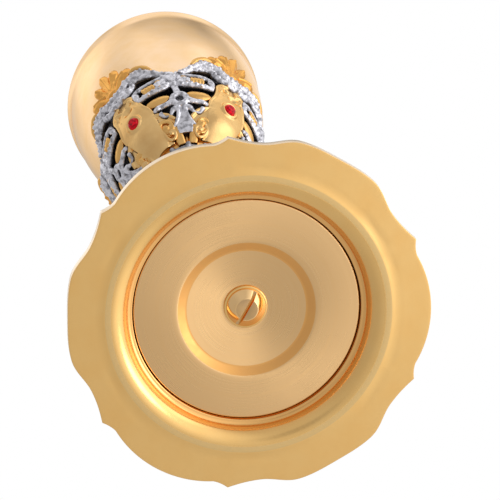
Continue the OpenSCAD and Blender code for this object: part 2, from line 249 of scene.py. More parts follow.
class Casting:
    """Ornament made of tubes, beads and plates laid on a surface, then fused into one clean solid.
    place(angle, height, lift) gives points in millimetres, and lift is measured off the surface."""

    def __init__(self, place):
        self.place = place
        self.verts = []
        self.faces = []
        self.count = 0

    def add(self, verts, faces):
        self.verts.append(verts)
        self.faces += [tuple(self.count + i for i in face) for face in faces]
        self.count += len(verts)

    def tube(self, points, flat=1.0, per=6, sides=12):
        """Swept bar through (angle, height, lift, radius) points. flat scales it across the surface."""
        t = np.linspace(0, len(points) - 1, (len(points) - 1) * per + 1)
        a, z, lift, radius = along_path(points, t)
        centre = self.place(a, z, lift)
        outward = unit(self.place(a, z, lift + 0.5) - centre)
        along = unit(np.gradient(centre, axis=0))
        side = unit(np.cross(along, outward))
        outward = np.cross(side, along)
        ring = np.linspace(0, 2 * math.pi, sides, endpoint=False)
        across = side[:, None] * np.cos(ring)[None, :, None]
        across = across + flat * outward[:, None] * np.sin(ring)[None, :, None]
        verts = (centre[:, None] + radius[:, None, None] * across).reshape(-1, 3)
        nose = along * radius[:, None] * 0.5
        verts = np.vstack([verts, centre[0] - nose[0], centre[-1] + nose[-1]])
        rows = len(t)
        faces = quads(rows, sides, close_rows=False, flip=True)
        for j in range(sides):
            k = (j + 1) % sides
            faces.append((rows * sides, k, j))
            faces.append((rows * sides + 1, (rows - 1) * sides + j, (rows - 1) * sides + k))
        self.add(verts, faces)

    def both(self, points, flat=1.0):
        """The same bar on both sides of the ornament's middle."""
        self.tube(points, flat)
        self.tube([(-p[0], *p[1:]) for p in points], flat)

    def volute(self, a, z, lift, size, bar, across, along, start, sweep):
        """Bar that winds in towards (a, z), where it ends in a bead. across and along turn millimetres
        into angles and heights."""
        points = []
        for t in np.linspace(0, 1, 10):
            radius = size * (1 - 0.78 * t)
            angle = math.radians(start + sweep * t)
            points.append((a + across * radius * math.cos(angle), z + along * radius * math.sin(angle),
                           lift + 0.7 * t, bar * (1 - 0.25 * t)))
        self.tube(points)
        self.bead(a, z, lift + 0.6, bar * 1.15)

    def spiral(self, a, z, lift, size, bar, start=90, hand=1):
        """Volute on a skin whose heights are millimetres."""
        across = math.degrees(1 / np.linalg.norm(self.place(0.0, z, 0.0)[:2]))
        self.volute(a, z, lift, size, bar, across, 1.0, start, hand * SWEEP)

    def spiral_on_foot(self, a, v, lift, size, bar, hand):
        """Volute on the foot's dome, where heights run from 0 to 1 along its curve."""
        step = 0.01
        centre = self.place(a, v, lift)
        length = float(np.linalg.norm(self.place(a, v + step, lift) - centre)) / step
        across = math.degrees(1 / np.linalg.norm(centre[:2]))
        self.volute(a, v, lift, size, bar, across, 1 / length, 90, hand * SWEEP)

    def pearls(self, points, count, radius, wander=0.3):
        """Row of grains along a bar, of slightly different sizes, a little off its middle."""
        for i in range(count):
            a, z, lift, bar = along_path(points, (i + 0.5) / count * (len(points) - 1))
            size = radius * (1 + 0.25 * math.sin(7.3 * i + 2.1 * z))
            self.bead(a, z + wander * bar * math.sin(4.7 * i), lift + 0.7 * bar, size)

    def bead(self, a, z, lift, radius):
        verts, faces = ball(2, radius)
        self.add(verts + self.place(a, z, lift), faces)

    def axes(self, a, z, lift):
        """Point on the ornament with the unit vectors across, up and out of the surface."""
        centre = self.place(a, z, lift)
        out = unit(self.place(a, z, lift + 0.5) - centre)
        across = np.array([-math.sin(math.radians(a)), math.cos(math.radians(a)), 0.0])
        return centre, across, np.cross(out, across), out

    def blob(self, a, z, lift, wide, tall, thick):
        """Ellipsoid that follows the surface."""
        centre, *axes = self.axes(a, z, lift)
        verts, faces = ball(3, 1)
        self.add(centre + verts * (wide, tall, thick) @ np.stack(axes), faces)

    def ring(self, a, z, lift, wide, tall, bar, sides=10, around=28):
        """Oval hoop of round bar that lies along the surface."""
        centre, across, up, out = self.axes(a, z, lift)
        verts = []
        for i in range(around):
            t = 2 * math.pi * i / around
            rail = centre + across * wide * math.cos(t) + up * tall * math.sin(t)
            away = unit(rail - centre)
            for j in range(sides):
                u = 2 * math.pi * j / sides
                verts.append(rail + bar * (away * math.cos(u) + out * math.sin(u)))
        self.add(np.array(verts), quads(around, sides))

    def span_plate(self, middle, half, low, high, front, back):
        """Plain plate between two heights, half degrees wide on each side of middle."""
        place = self.place
        self.place = lambda a, z, lift: place(a + middle, z, lift)
        self.plate([(low, half), (high, half)], lambda u, z: front + 0 * u * z, back, 12, 15)
        self.place = place

    def plate(self, outline, front, back, rows=40, columns=33):
        """Closed plate. outline is (height, half angle) points, and front(u, z) is its lift, where u
        runs from -1 to 1 across it."""
        z = np.linspace(outline[0][0], outline[-1][0], rows)
        half = np.maximum(curve_through(outline, z), 0.4)
        u = np.linspace(-1, 1, columns)
        grid_a = half[:, None] * u
        grid_z = np.repeat(z[:, None], columns, 1)
        near = self.place(grid_a, grid_z, front(u[None, :], grid_z)).reshape(-1, 3)
        far = self.place(grid_a, grid_z, back + 0 * grid_a).reshape(-1, 3)
        faces = []
        total = rows * columns
        for quad in quads(rows, columns, False, False, flip=True):
            faces += [quad, tuple(total + v for v in reversed(quad))]
        rim = list(range(columns))
        rim += [i * columns + columns - 1 for i in range(1, rows)]
        rim += [(rows - 1) * columns + j for j in range(columns - 2, -1, -1)]
        rim += [i * columns for i in range(rows - 2, 0, -1)]
        for p, q in zip(rim, rim[1:] + rim[:1]):
            faces.append((q, p, total + p, total + q))
        self.add(np.vstack([near, far]), faces)

    def fuse(self, name, voxel, grain, keep=0.5):
        """One closed skin round everything added so far, roughened by grain millimetres."""
        grain_size = 1.4
        obj = new_object(name, np.vstack(self.verts), self.faces)
        remesh = obj.modifiers.new("skin", "REMESH")
        remesh.mode = "VOXEL"
        remesh.voxel_size = voxel * MM
        relax = obj.modifiers.new("relax", "SMOOTH")
        relax.iterations = 2
        texture = bpy.data.textures.new(name, "CLOUDS")
        texture.noise_scale = grain_size * MM
        rough = obj.modifiers.new("grain", "DISPLACE")
        rough.texture = texture
        rough.texture_coords = "LOCAL"
        rough.strength = grain * MM
        rough.mid_level = 0.5
        thin = obj.modifiers.new("thin", "DECIMATE")
        thin.ratio = keep
        apply_modifiers(obj)
        drop_specks(obj)
        obj.data.shade_smooth()
        return obj


def drop_specks(obj, least=100):
    """Deletes shells of fewer than least faces, which remeshing can leave behind."""
    work = bmesh.new()
    work.from_mesh(obj.data)
    seen = set()
    specks = []
    for start in work.faces:
        if start in seen:
            continue
        seen.add(start)
        shell = [start]
        for face in shell:
            for edge in face.edges:
                if len(edge.link_faces) == 2:
                    fresh = [other for other in edge.link_faces if other not in seen]
                    seen.update(fresh)
                    shell += fresh
        if len(shell) < least:
            specks += shell
    bmesh.ops.delete(work, geom=specks, context="FACES")
    work.to_mesh(obj.data)
    work.free()


def unit(vectors):
    return vectors / np.maximum(np.linalg.norm(vectors, axis=-1, keepdims=True), 1e-9)


# ---------------------------------------------------------------- the foot's outline and skin

# Radius at the middle of a narrow lobe, at its notches, at the cusps, in the valleys,
# on the two humps of a wide lobe and in the dip between them.
LOBE_R, NOTCH_R, CUSP_R, VALLEY_R, HUMP_R, DIP_R = 65.4, 63.3, 65.0, 62.1, 64.9, 64.3
NOTCH_A, CUSP_A, VALLEY_A, HUMP_A = 18.5, 23.5, 34.5, 47.0
RIM_R = (CUSP_R + VALLEY_R) / 2
RIM_H = 5.5
LAND_R = 51.2
LAND_IN = 49.3
OPENING_R = 41.0
BEAD_W = 2.0
COVE_H = 5.2
FILLET_W = 4.5
DOME_CENTRE, DOME_W, DOME_H, DOME_Z = 36.0, 22.0, 19.5, 7.5
BELL_R, BELL_Z = DOME_CENTRE - 2, DOME_Z + DOME_H + 2    # where the bell under the neck starts
NECK_R = 12.5
FLANGE_Z = 0.45              # the flange stands clear of the table outside the land
FLANGE_RISE = 0.05           # and slopes up a little towards the rim


def bow(a, a0, r0, a1, r1):
    return r0 + (r1 - r0) * ((a - a0) / (a1 - a0)) ** 2


def ease(a, a0, r0, a1, r1):
    return r0 + (r1 - r0) * (1 - np.cos(math.pi * (a - a0) / (a1 - a0))) / 2


def rim_radius(angle):
    """Outline of the foot: three narrow lobes between cusps, and three wide lobes with two humps."""
    period = 360 / FOOT_LOBES
    a = np.mod(angle, period)
    a = np.minimum(a, period - a)
    pieces = [
        bow(a, 0, LOBE_R, NOTCH_A, NOTCH_R),
        bow(a, NOTCH_A, NOTCH_R, CUSP_A, CUSP_R),
        bow(a, VALLEY_A, VALLEY_R, CUSP_A, CUSP_R),
        ease(a, VALLEY_A, VALLEY_R, HUMP_A, HUMP_R),
    ]
    ends = [a < NOTCH_A, a < CUSP_A, a < VALLEY_A, a < HUMP_A]
    return np.select(ends, pieces, ease(a, HUMP_A, HUMP_R, period / 2, DIP_R))


def flange_height(r):
    """Height of the flange's underside, which rises from the end of its fillet to the rim."""
    return FLANGE_Z + FLANGE_RISE * np.maximum(r - LAND_R - FILLET_W, 0)


def lobed(angle, r, z):
    """Bends a round foot into its lobes: fully at the rim, not at all at the land and the neck."""
    under = blend_step(LAND_R, LAND_R + 7, r) * (z < 1.6)
    over = blend_step(24, 58, r) * (z >= 1.6) * (r > OPENING_R + 4) + 0.0
    crown = blend_step(24, 58, r) * (z > 20)
    share = np.maximum(under, np.maximum(over * (z > 5), crown))
    share = np.where((z >= 1.6) & (r > 56), np.maximum(share, blend_step(50, 62, r)), share)
    bent = r + share * (rim_radius(angle) - RIM_R)
    return bent, z + (flange_height(bent) - flange_height(r)) * (z < 1.6)


def foot_outline():
    """Closed outline of the cast foot, from the disc's pocket, out to the rim and up to the neck."""
    bead = arc((OPENING_R, COVE_H), (BEAD_W, 1.2), 90, 8, 8)
    cove = arc((LAND_IN, COVE_H), (LAND_IN - OPENING_R - BEAD_W, COVE_H), 180, 270, 20)
    land = [(LAND_R - 0.2, 0)]
    fillet = [(LAND_R + FILLET_W * t, FLANGE_Z * (1 - (1 - t) ** 2)) for t in np.linspace(0.04, 1, 9)]
    flange = [(r, float(flange_height(r))) for r in np.linspace(LAND_R + 6, RIM_R - 1, 7)]
    edge_z = float(flange_height(RIM_R))
    rim = rounded([(RIM_R - 0.6, edge_z), (RIM_R, edge_z, 0.15), (RIM_R, RIM_H, 0.9),
                   (RIM_R - 3.4, RIM_H + 0.3, 0.6), (RIM_R - 4, RIM_H + 2.2, 0.9),
                   (RIM_R - 5.6, RIM_H + 2.2)], 5)[1:]
    dome = arc((DOME_CENTRE, DOME_Z), (DOME_W, DOME_H), 3, 90, 28)
    bell = [(BELL_R - (BELL_R - NECK_R) * math.sin(u), FOOT_TOP - (FOOT_TOP - BELL_Z) * math.cos(u))
            for u in np.linspace(0.06, math.pi / 2, 24)]
    bore = [(BORE_R, FOOT_TOP), (BORE_R, FOOT_TOP - 5), (9.5, FOOT_TOP - 6)]
    inside = [(10, 54), (14, 41), (22, 32), (31, 25), (37.5, 22), (38.5, 18), (38.5, DISC_Z + 1.3)]
    ledge = [(OPENING_R, DISC_Z + 1.3), (OPENING_R, 6.6)]
    under = bead + cove + land + fillet + flange
    return under + [tuple(p) for p in rim] + dome + bell + bore + inside + ledge


def on_foot(angle, height, lift):
    """Point on the foot's top, lifted off its skin. height runs from 0 at the rim to 1 at the neck."""
    angle, height, lift = arrays(angle, height, lift)
    turn = np.radians(np.clip(height / 0.45, 0, 1.02) * 90)
    rise = np.radians(np.clip((height - 0.45) / 0.55, 0, 1) * 82)
    r_dome = DOME_CENTRE + (DOME_W + lift) * np.cos(turn)
    z_dome = DOME_Z + (DOME_H + lift) * np.sin(turn)
    r_bell = BELL_R - (BELL_R - NECK_R) * np.sin(rise) + lift * 0.8 * np.sin(rise)
    z_bell = FOOT_TOP - (FOOT_TOP - BELL_Z) * np.cos(rise) + lift * np.cos(rise)
    upper = blend_step(0.42, 0.5, height)
    r = r_dome * (1 - upper) + r_bell * upper
    z = z_dome * (1 - upper) + z_bell * upper
    above_rim = np.full_like(z, 30.0)
    return cylindrical(angle, lobed(angle, r, above_rim)[0], z)


# ---------------------------------------------------------------- the calyx's skin

CALYX_SKIN = [(188, 9.5), (190.5, 12.0), (194, 15.6), (200, 20.9), (208, 25.7), (218, 29.2),
              (232, 32.0), (250, 35.4), (264, 37.9)]


def on_calyx(angle, height, lift):
    """Point on the calyx, lifted off its skin along the outward normal."""
    angle, height, lift = arrays(angle, height, lift)
    step = 0.5
    below, r, above = [curve_through(CALYX_SKIN, height + k * step) for k in (-1, 0, 1)]
    slope = (above - below) / (2 * step)
    length = np.sqrt(1 + slope ** 2)
    return cylindrical(angle, r + lift / length, height - lift * slope / length)


# ---------------------------------------------------------------- materials

class Nodes:
    """Short calls for the nodes of a tree."""

    def __init__(self, tree):
        self.tree = tree

    def set(self, node, inputs):
        for key, value in inputs.items():
            socket = node.inputs[key.replace("_", " ") if isinstance(key, str) else key]
            if isinstance(value, bpy.types.NodeSocket):
                self.tree.links.new(value, socket)
            else:
                socket.default_value = value

    def node(self, kind, inputs=None, **settings):
        node = self.tree.nodes.new(kind)
        for key, value in settings.items():
            setattr(node, key, value)
        self.set(node, inputs or {})
        return node

    def remap(self, value, low, high, to_low, to_high, kind="LINEAR"):
        inputs = {"Value": value, "From Min": low, "From Max": high, "To Min": to_low, "To Max": to_high}
        return self.node("ShaderNodeMapRange", inputs, interpolation_type=kind).outputs["Result"]

    def mix(self, share, first, second):
        return self.node("ShaderNodeMix", {0: share, 6: first, 7: second}, data_type="RGBA").outputs[2]

    def math(self, operation, a, b=0.0):
        return self.node("ShaderNodeMath", {0: a, 1: b}, operation=operation).outputs[0]

    def times(self, a, b):
        return self.math("MULTIPLY", a, b)

    def either(self, share, first, second):
        """Mix of two shaders."""
        return self.node("ShaderNodeMixShader", {0: share, 1: first, 2: second}).outputs[0]


class Shader(Nodes):
    """Material with one Principled shader, whose patterns are sized in millimetres."""

    def __init__(self, name, **inputs):
        self.material = bpy.data.materials.new(name)
        self.material.use_nodes = True
        super().__init__(self.material.node_tree)
        self.surface = self.tree.nodes["Principled BSDF"]
        self.set(self.surface, inputs)
        self.place = self.node("ShaderNodeTexCoord").outputs["Object"]

    def finish(self, colour, roughness, normal):
        self.set(self.surface, {"Base Color": colour, "Roughness": roughness, "Normal": normal})
        return self.material

    def around(self):
        """Distance from the stem's axis, and height, in metres."""
        split = self.node("ShaderNodeSeparateXYZ", {"Vector": self.place}).outputs
        squares = [self.times(split[i], split[i]) for i in (0, 1)]
        return self.math("SQRT", self.math("ADD", *squares)), split[2]

    def noise(self, size, detail, where=None):
        """Noise whose grain is about size millimetres."""
        inputs = {"Vector": where or self.place, "Scale": 1 / (size * MM), "Detail": detail}
        return self.node("ShaderNodeTexNoise", inputs).outputs["Fac"]

    def bump(self, height, depth):
        """Bump whose full height is depth millimetres."""
        return self.node("ShaderNodeBump", {"Height": height, "Distance": depth * MM}).outputs["Normal"]

    def hollow(self, distance):
        """1 on open surfaces, falling to 0 in recesses about distance millimetres wide."""
        node = self.node("ShaderNodeAmbientOcclusion", {"Distance": distance * MM}, samples=8)
        return node.outputs["AO"]


def rgb(r, g, b):
    return (r, g, b, 1.0)


GOLD = rgb(0.94, 0.59, 0.22)
GOLD_DEEP = rgb(0.90, 0.49, 0.14)
# pale gold whose paleness is a painted reflection of white
PALE_GOLD_SHEEN = rgb(0.98, 0.72, 0.49)
EDGE_TINT = rgb(1.0, 0.84, 0.62)
SILVER = rgb(0.80, 0.79, 0.85)
OXIDE = rgb(0.030, 0.026, 0.030)


def gilt(name, tone, deep, roughness, vary, grain, depth):
    """Gilded brass: tone turns to deep in recesses, as painted shade, and in random patches, with a fine
    grain.
    """
    s = Shader(name, Metallic=1.0, Specular_Tint=EDGE_TINT)
    patches = s.remap(s.noise(9, 4), 0.35, 0.7, 0.0, 0.35)
    # painted shade: recesses found by ambient occlusion turn to the deep tone
    shade = s.remap(s.hollow(2.5), 0.25, 0.85, 1.0, 0.0)
    colour = s.mix(s.math("MAXIMUM", patches, shade), tone, deep)
    rough = s.remap(s.noise(grain * 3, 4), 0.3, 0.7, roughness - vary, roughness + vary)
    return s.finish(colour, rough, s.bump(s.noise(grain, 3), depth))


def brushed(name, tone, roughness, turn_size, depth):
    """Lathe-brushed gilt: fine rings about Z, seen as fans of light."""
    s = Shader(name, Metallic=1.0, Anisotropic=0.75)
    radius, height = s.around()
    rings = s.noise(turn_size, 5, s.node("ShaderNodeCombineXYZ", {"X": radius, "Y": height}).outputs[0])
    tangent = s.node("ShaderNodeTangent", direction_type="RADIAL", axis="Z").outputs[0]
    s.set(s.surface, {"Tangent": tangent})
    wear = s.remap(s.noise(14, 4), 0.3, 0.7, -0.03, 0.03)
    rough = s.math("ADD", s.remap(rings, 0.3, 0.7, roughness - 0.05, roughness + 0.05), wear)
    colour = s.mix(s.remap(rings, 0.35, 0.65, 0.0, 0.1), tone, GOLD_DEEP)
    return s.finish(colour, rough, s.bump(rings, depth))


def cast_silver(name):
    """Silvered casting: bright on its high places, with black oxide left in its recesses."""
    s = Shader(name, Metallic=1.0)
    lift = s.node("ShaderNodeAttribute", attribute_name="lift").outputs["Fac"]
    raised = s.remap(lift, -0.1, 1.5, 0.0, 1.0)
    exposed = s.times(s.remap(s.hollow(2.2), 0.30, 0.80, 0.0, 1.0), raised)
    speckle = s.remap(s.noise(1.8, 4), 0.36, 0.54, 0.45, 1.0)
    clean = s.times(exposed, speckle)
    return s.finish(s.mix(clean, OXIDE, SILVER), s.remap(clean, 0.0, 1.0, 0.6, 0.30),
                    s.bump(s.noise(1.3, 3), 0.16))


def shadow_black(name):
    """Near-black finish with slightly lighter patches: painted shadow for the hollow inside the calyx."""
    s = Shader(name, Metallic=0.6)
    patches = s.remap(s.noise(2.0, 4), 0.4, 0.7, 0.0, 1.0)
    colour = s.mix(patches, rgb(0.008, 0.007, 0.008), rgb(0.05, 0.04, 0.04))
    return s.finish(colour, 0.6, s.bump(s.noise(0.8, 3), 0.2))


def ruby(name):
    """Red glass stone: dark at its depths, with a lighter glow painted in by a faint red emission, and
    faint facet glints.
    """
    s = Shader(name, Roughness=0.12, IOR=1.4, Specular_IOR_Level=0.25)
    depth = s.remap(s.noise(1.3, 2), 0.35, 0.65, 0.0, 1.0)
    s.set(s.surface, {
        "Base Color": s.mix(depth, rgb(0.22, 0.0, 0.004), rgb(0.85, 0.002, 0.018)),
        # painted glow: the stone emits a little red light of its own, though it is no lamp
        "Emission Color": rgb(0.7, 0.0, 0.01),
        "Emission Strength": 0.10,
    })
    return s.material


def foot_gilt(name):
    """The foot's gilding: satin flange, frosted land, polished cove, and a bright rim and upper side.
    Recesses turn a deeper gold as painted shade, the inner cove by the opening a deeper orange as painted
    shade, and the rim's side wall pale cream as a painted reflection.
    """
    s = Shader(name, Metallic=1.0)
    radius, height = [s.math("DIVIDE", length, MM) for length in s.around()]
    within = s.times(s.remap(radius, LAND_IN - 0.15, LAND_IN, 0.0, 1.0),
                     s.remap(radius, LAND_R, LAND_R + 0.15, 1.0, 0.0))
    land = s.times(within, s.remap(height, 0.1, 0.3, 1.0, 0.0))
    cove = s.times(s.remap(radius, LAND_IN - 0.5, LAND_IN, 1.0, 0.0),
                   s.remap(height, 8.0, 9.0, 1.0, 0.0))
    top = s.remap(height, 2.0, 4.0, 0.0, 1.0)
    scuff = s.remap(s.noise(1.2, 5), 0.3, 0.7, -0.12, 0.12)
    rough = s.math("ADD", 0.36, s.remap(s.noise(1.0, 4), 0.3, 0.7, -0.04, 0.04))
    rough = s.math("SUBTRACT", rough, s.times(s.math("MAXIMUM", cove, top), 0.16))
    rough = s.math("ADD", rough, s.times(land, s.math("ADD", 0.12, scuff)))
    # painted shade: the tone turns deep where ambient occlusion finds a recess
    hollow = s.remap(s.hollow(3.0), 0.2, 0.8, 0.8, 0.0)
    patches = s.remap(s.noise(11, 4), 0.4, 0.7, 0.0, 0.25)
    tone = s.mix(s.math("MAXIMUM", hollow, patches), GOLD, GOLD_DEEP)
    # painted shade: the inner part of the cove and the bead by the opening turn a deeper orange
    cove_shade = s.times(s.remap(radius, OPENING_R + 4.5, OPENING_R + 1.2, 0.0, 0.75),
                     s.remap(height, 0.5, 1.5, 0.0, 1.0))
    cove_shade = s.times(cove_shade, s.remap(height, 8.0, 9.0, 1.0, 0.0))
    tone = s.mix(cove_shade, tone, rgb(0.90, 0.47, 0.16))
    # painted reflection: the rim's side wall turns pale cream, for the white surroundings it mirrors
    wall = s.times(s.remap(height, 0.9, 1.4, 0.0, 1.0),
                   s.remap(height, RIM_H - 0.6, RIM_H + 0.2, 1.0, 0.0))
    wall = s.times(wall, s.remap(radius, LAND_R, LAND_R + 1, 0.0, 0.7))
    tone = s.mix(wall, tone, rgb(1.0, 0.86, 0.68))
    tone = s.mix(land, tone, rgb(0.80, 0.55, 0.24))
    return s.finish(tone, rough, s.bump(s.noise(0.5, 4), 0.006))


satin = foot_gilt("gilt_satin")
bevel_gilt = gilt("gilt_bevel", rgb(1.0, 0.66, 0.32), GOLD_DEEP, 0.06, 0.02, 0.8, 0.001)
face_gilt = gilt("gilt_face", rgb(0.56, 0.36, 0.18), GOLD, 0.38, 0.05, 0.4, 0.01)
polished = gilt("gilt_polished", GOLD, GOLD_DEEP, 0.10, 0.03, 0.8, 0.002)
# painted reflection: the bowl's gold is paler than the rest, for the white the polished cup mirrors
bowl_gilt = gilt("gilt_bowl", PALE_GOLD_SHEEN, GOLD, 0.16, 0.03, 1.5, 0.001)
cast_gilt = gilt("gilt_cast", rgb(0.92, 0.55, 0.19), rgb(0.45, 0.17, 0.03), 0.24, 0.06, 1.1, 0.05)
crest_gilt = gilt("gilt_crest", rgb(0.97, 0.50, 0.13), rgb(0.45, 0.14, 0.015), 0.20, 0.05, 1.1, 0.05)
satin_cast = gilt("gilt_shield", rgb(0.96, 0.63, 0.27), rgb(0.60, 0.28, 0.07), 0.21, 0.05, 2.2, 0.08)
brushed_gilt = brushed("gilt_brushed", rgb(0.88, 0.562, 0.265), 0.30, 0.5, 0.0015)
step_gilt = gilt("gilt_step", rgb(0.83, 0.43, 0.14), GOLD_DEEP, 0.44, 0.03, 0.8, 0.002)
silver = cast_silver("silver_cast")
dark = shadow_black("silver_dark")
red = ruby("red_stone")


# ---------------------------------------------------------------- the foot and its underside

def build_foot():
    foot = revolve("foot_casting_shell", foot_outline(), 720, lobed)
    add_piece(foot, satin, "gilt_satin", "foot_casting")


def build_disc():
    """Spun disc: a slightly crowned face, a polished step down to the dish, and a seat for the bolt."""
    thick = 1.2
    dish_r, groove_r, crown_r, fall, lip = 21.4, 24.8, 29.0, 0.45, 0.15
    dish_z = DISC_Z + 1.6
    crown = [(r, DISC_Z + fall * ((r - crown_r) / (DISC_R - crown_r)) ** 2)
             for r in np.linspace(groove_r + 1, DISC_R - 0.6, 10)]
    face = rounded([(BORE_R, SEAT_Z, 0.2), (WASHER_R + 0.6, SEAT_Z, 0.8), (dish_r, dish_z, 0.7),
                    (dish_r + 0.6, dish_z - 0.1, 0.4), (groove_r, DISC_Z + 0.15, 0.5)] + crown +
                   [(DISC_R + lip, DISC_Z + fall, 0.45), (DISC_R + lip, DISC_Z + thick, 0.2),
                    (groove_r + 0.5, DISC_Z + thick + 0.2, 0.4), (dish_r + 0.6, dish_z + thick, 0.4),
                    (WASHER_R + 0.6, SEAT_Z + thick, 0.5), (BORE_R, SEAT_Z + thick, 0.2)], 6)
    disc = revolve("foot_bottom_disc_spun", face, 256)
    add_piece(disc, brushed_gilt, "gilt_brushed", "foot_bottom_disc")
    add_finish(disc, step_gilt, lambda face: face.normal.z < 0 and
               dish_r < math.hypot(face.center.x, face.center.y) / MM < groove_r)


def build_bolt():
    """Bevelled head with a straight slot, on a plain shank that runs up the stem."""
    flat_r, slot_w, slot_depth, slot_turn = 4.1, 1.3, 2.4, -61
    shank_r, tip = 3.0, heights("tie_bolt")[1]
    skirt = heights("bolt_washer")[0] - 0.8
    profile = [(0, DISC_Z)] + [tuple(p) for p in rounded(
        [(0.01, DISC_Z), (flat_r, DISC_Z, 0.25), (HEAD_R, skirt, 0.3), (HEAD_R, skirt + 0.8, 0.2),
         (shank_r, skirt + 0.8), (shank_r, tip, 0.5), (0.01, tip)], 5)[1:-1]] + [(0, tip)]
    bolt = revolve("tie_bolt_turned", profile, 96)
    bpy.ops.mesh.primitive_cube_add(size=1)
    cutter = bpy.context.object
    cutter.scale = (2.5 * HEAD_R * MM, slot_w * MM, 2 * slot_depth * MM)
    cutter.location = (0, 0, DISC_Z * MM)
    cutter.rotation_euler.z = math.radians(slot_turn)
    cut = bolt.modifiers.new("slot", "BOOLEAN")
    cut.object = cutter
    cut.solver = "EXACT"
    bevel = bolt.modifiers.new("edge", "BEVEL")
    bevel.width = 0.12 * MM
    bevel.segments = 2
    bevel.limit_method = "ANGLE"
    bevel.angle_limit = math.radians(50)
    apply_modifiers(bolt)
    bolt.data.shade_smooth()
    bpy.data.objects.remove(cutter)
    bolt.data.set_sharp_from_angle(angle=math.radians(32))
    add_piece(bolt, bevel_gilt, "gilt_polished", "tie_bolt")
    flat = -0.9995
    add_finish(bolt, face_gilt, lambda face: face.normal.z < flat)


def build_washer():
    low, high = heights("bolt_washer")
    ring = [(BORE_R, low, 0.1), (WASHER_R, low, 0.3), (WASHER_R, high, 0.2), (BORE_R, high, 0.1)]
    washer = revolve("bolt_washer_turned", rounded(ring), 128)
    add_piece(washer, polished, "gilt_polished", "bolt_washer")


# ---------------------------------------------------------------- the cup

def build_bowl():
    """Spun cup: half an ellipse, a slight flare and a rolled lip."""
    wall_r, flare_z, bowl_z, wall, floor = 39.4, LIP_Z - 7.5, 195.2, 1.2, 3.0
    depth = flare_z - bowl_z
    seat = heights("bowl")[0]

    def skin(start, inset, lift):
        t = np.linspace(start, math.pi / 2, 60)[1:]
        return [((wall_r - inset) * math.sin(b), flare_z - (depth - lift) * math.cos(b)) for b in t]

    def flare(inset):
        return [(wall_r - inset + (LIP_R - wall_r) * u * u, flare_z + (LIP_Z - wall / 2 - flare_z) * u)
                for u in np.linspace(0.1, 0.92, 9)]

    start = math.acos((flare_z - seat) / depth)
    outside = [(0, seat), (wall_r * math.sin(start), seat)] + skin(start, 0, 0) + flare(0)
    lip = arc((LIP_R - wall / 2, LIP_Z - wall / 2), (wall / 2, wall / 2), 0, 180, 12)
    inside = skin(0, wall, floor) + flare(wall)
    loop = outside + lip + inside[::-1] + [(0, inside[0][1])]
    bowl = revolve("bowl_spun", loop, 256)
    add_piece(bowl, bowl_gilt, "gilt_polished", "bowl")


# ---------------------------------------------------------------- ornaments, laid out on the calyx

# In an ornament, angles run from its own middle, heights are the calyx's, and lifts are off its skin.
STONE_Z = 208.6
HUB_Z = 208.4
CROSS_LEAN = 0.18            # degrees that the crosses lean for each millimetre above their hub
SIDES = (-1, 1)


def on_cross(angle, height, lift):
    """The calyx's skin, turned a little more the higher it is, as the crosses lean."""
    above = np.maximum(np.asarray(height, float) - HUB_Z, 0)
    return on_calyx(np.asarray(angle) - CROSS_LEAN * above, height, lift)


def shield(place):
    """Bulging gilt plate with an oval bezel and a notch over it, on a lower wing with two volutes."""
    c = Casting(place)
    column = [(192.5, 15), (195, 19), (199, 20), (203, 20), (207, 19.5), (210.5, 18), (214, 14.5),
              (218, 13.2), (222, 12.8), (225, 9), (227, 4)]
    wing = [(192.5, 24), (195, 32), (198, 36.5), (201, 36), (203, 31), (205, 22)]

    def front(u, z):
        belly = 1.9 * np.exp(-((z - 199) / 6.0) ** 2)
        neck = 0.9 * np.exp(-((z - 213) / 9) ** 2)
        notch = 3.4 * np.exp(-((z - 218.0) / 1.3) ** 2 - (u * 4.5 - 0.5) ** 2)
        return 0.5 + (belly + neck) * (1 - u ** 2) ** 0.45 - notch

    c.plate(column, front, -1.4)
    c.plate(wing, lambda u, z: 0.1 + 0.5 * (1 - u ** 2) + 0 * z, -1.4)
    c.both([(19, 206.5, 0.4, 0.6), (17.6, 210, 0.5, 0.7), (14.2, 213.6, 0.6, 0.8), (12.6, 218, 0.6, 0.9),
            (12.2, 221.5, 0.6, 1.0), (8.5, 225, 0.6, 0.9), (3, 227, 0.6, 0.8)])
    c.both([(19, 205.4, 0.4, 0.7), (25, 204.2, 0.4, 0.9), (31, 202.6, 0.3, 0.9), (36.5, 200.2, 0.2, 0.9)])
    for side in SIDES:
        c.spiral(side * 26.5, 195.4, 0.6, 3.0, 0.85, hand=side, start=60)
        c.tube([(side * 3, 221.0, 0.9, 0.6), (side * 7.5, 222.4, 1.2, 0.9), (side * 9.5, 219.4, 0.9, 0.6)])
        c.bead(side * 8, 216.2, 0.7, 0.7)
    c.blob(0, STONE_Z, 0.2, 4.4, 4.9, 1.9)
    c.ring(0, STONE_Z, 1.5, 3.2, 3.7, 0.7)
    return c


def stone_on(place, centre_z, lift, wide, tall, thick):
    """Faceted oval stone with a table, a ring of facets and a buried girdle."""
    sides = 16
    rows = [(1.0, -0.9), (1.0, 0.0), (0.82, 0.62), (0.55, 1.0)]
    centre = place(0.0, centre_z, lift)
    out = unit(place(0.0, centre_z, lift + 1) - centre)
    across = np.array([0.0, 1.0, 0.0])
    up = np.cross(out, across)
    verts = []
    for i, (share, height) in enumerate(rows):
        for j in range(sides):
            a = 2 * math.pi * (j + 0.5 * (i % 2)) / sides
            point = across * wide * share * math.cos(a) + up * tall * share * math.sin(a)
            verts.append(centre + point + out * thick * height)
    faces = [tuple(range(sides - 1, -1, -1)), tuple(range(3 * sides, 4 * sides))]
    for j, k, above_k, above_j in quads(4, sides, close_rows=False, flip=True):
        faces += [(j, k, above_j), (k, above_k, above_j)]
    obj = new_object("gem", verts, faces)
    obj.data.shade_flat()
    return obj


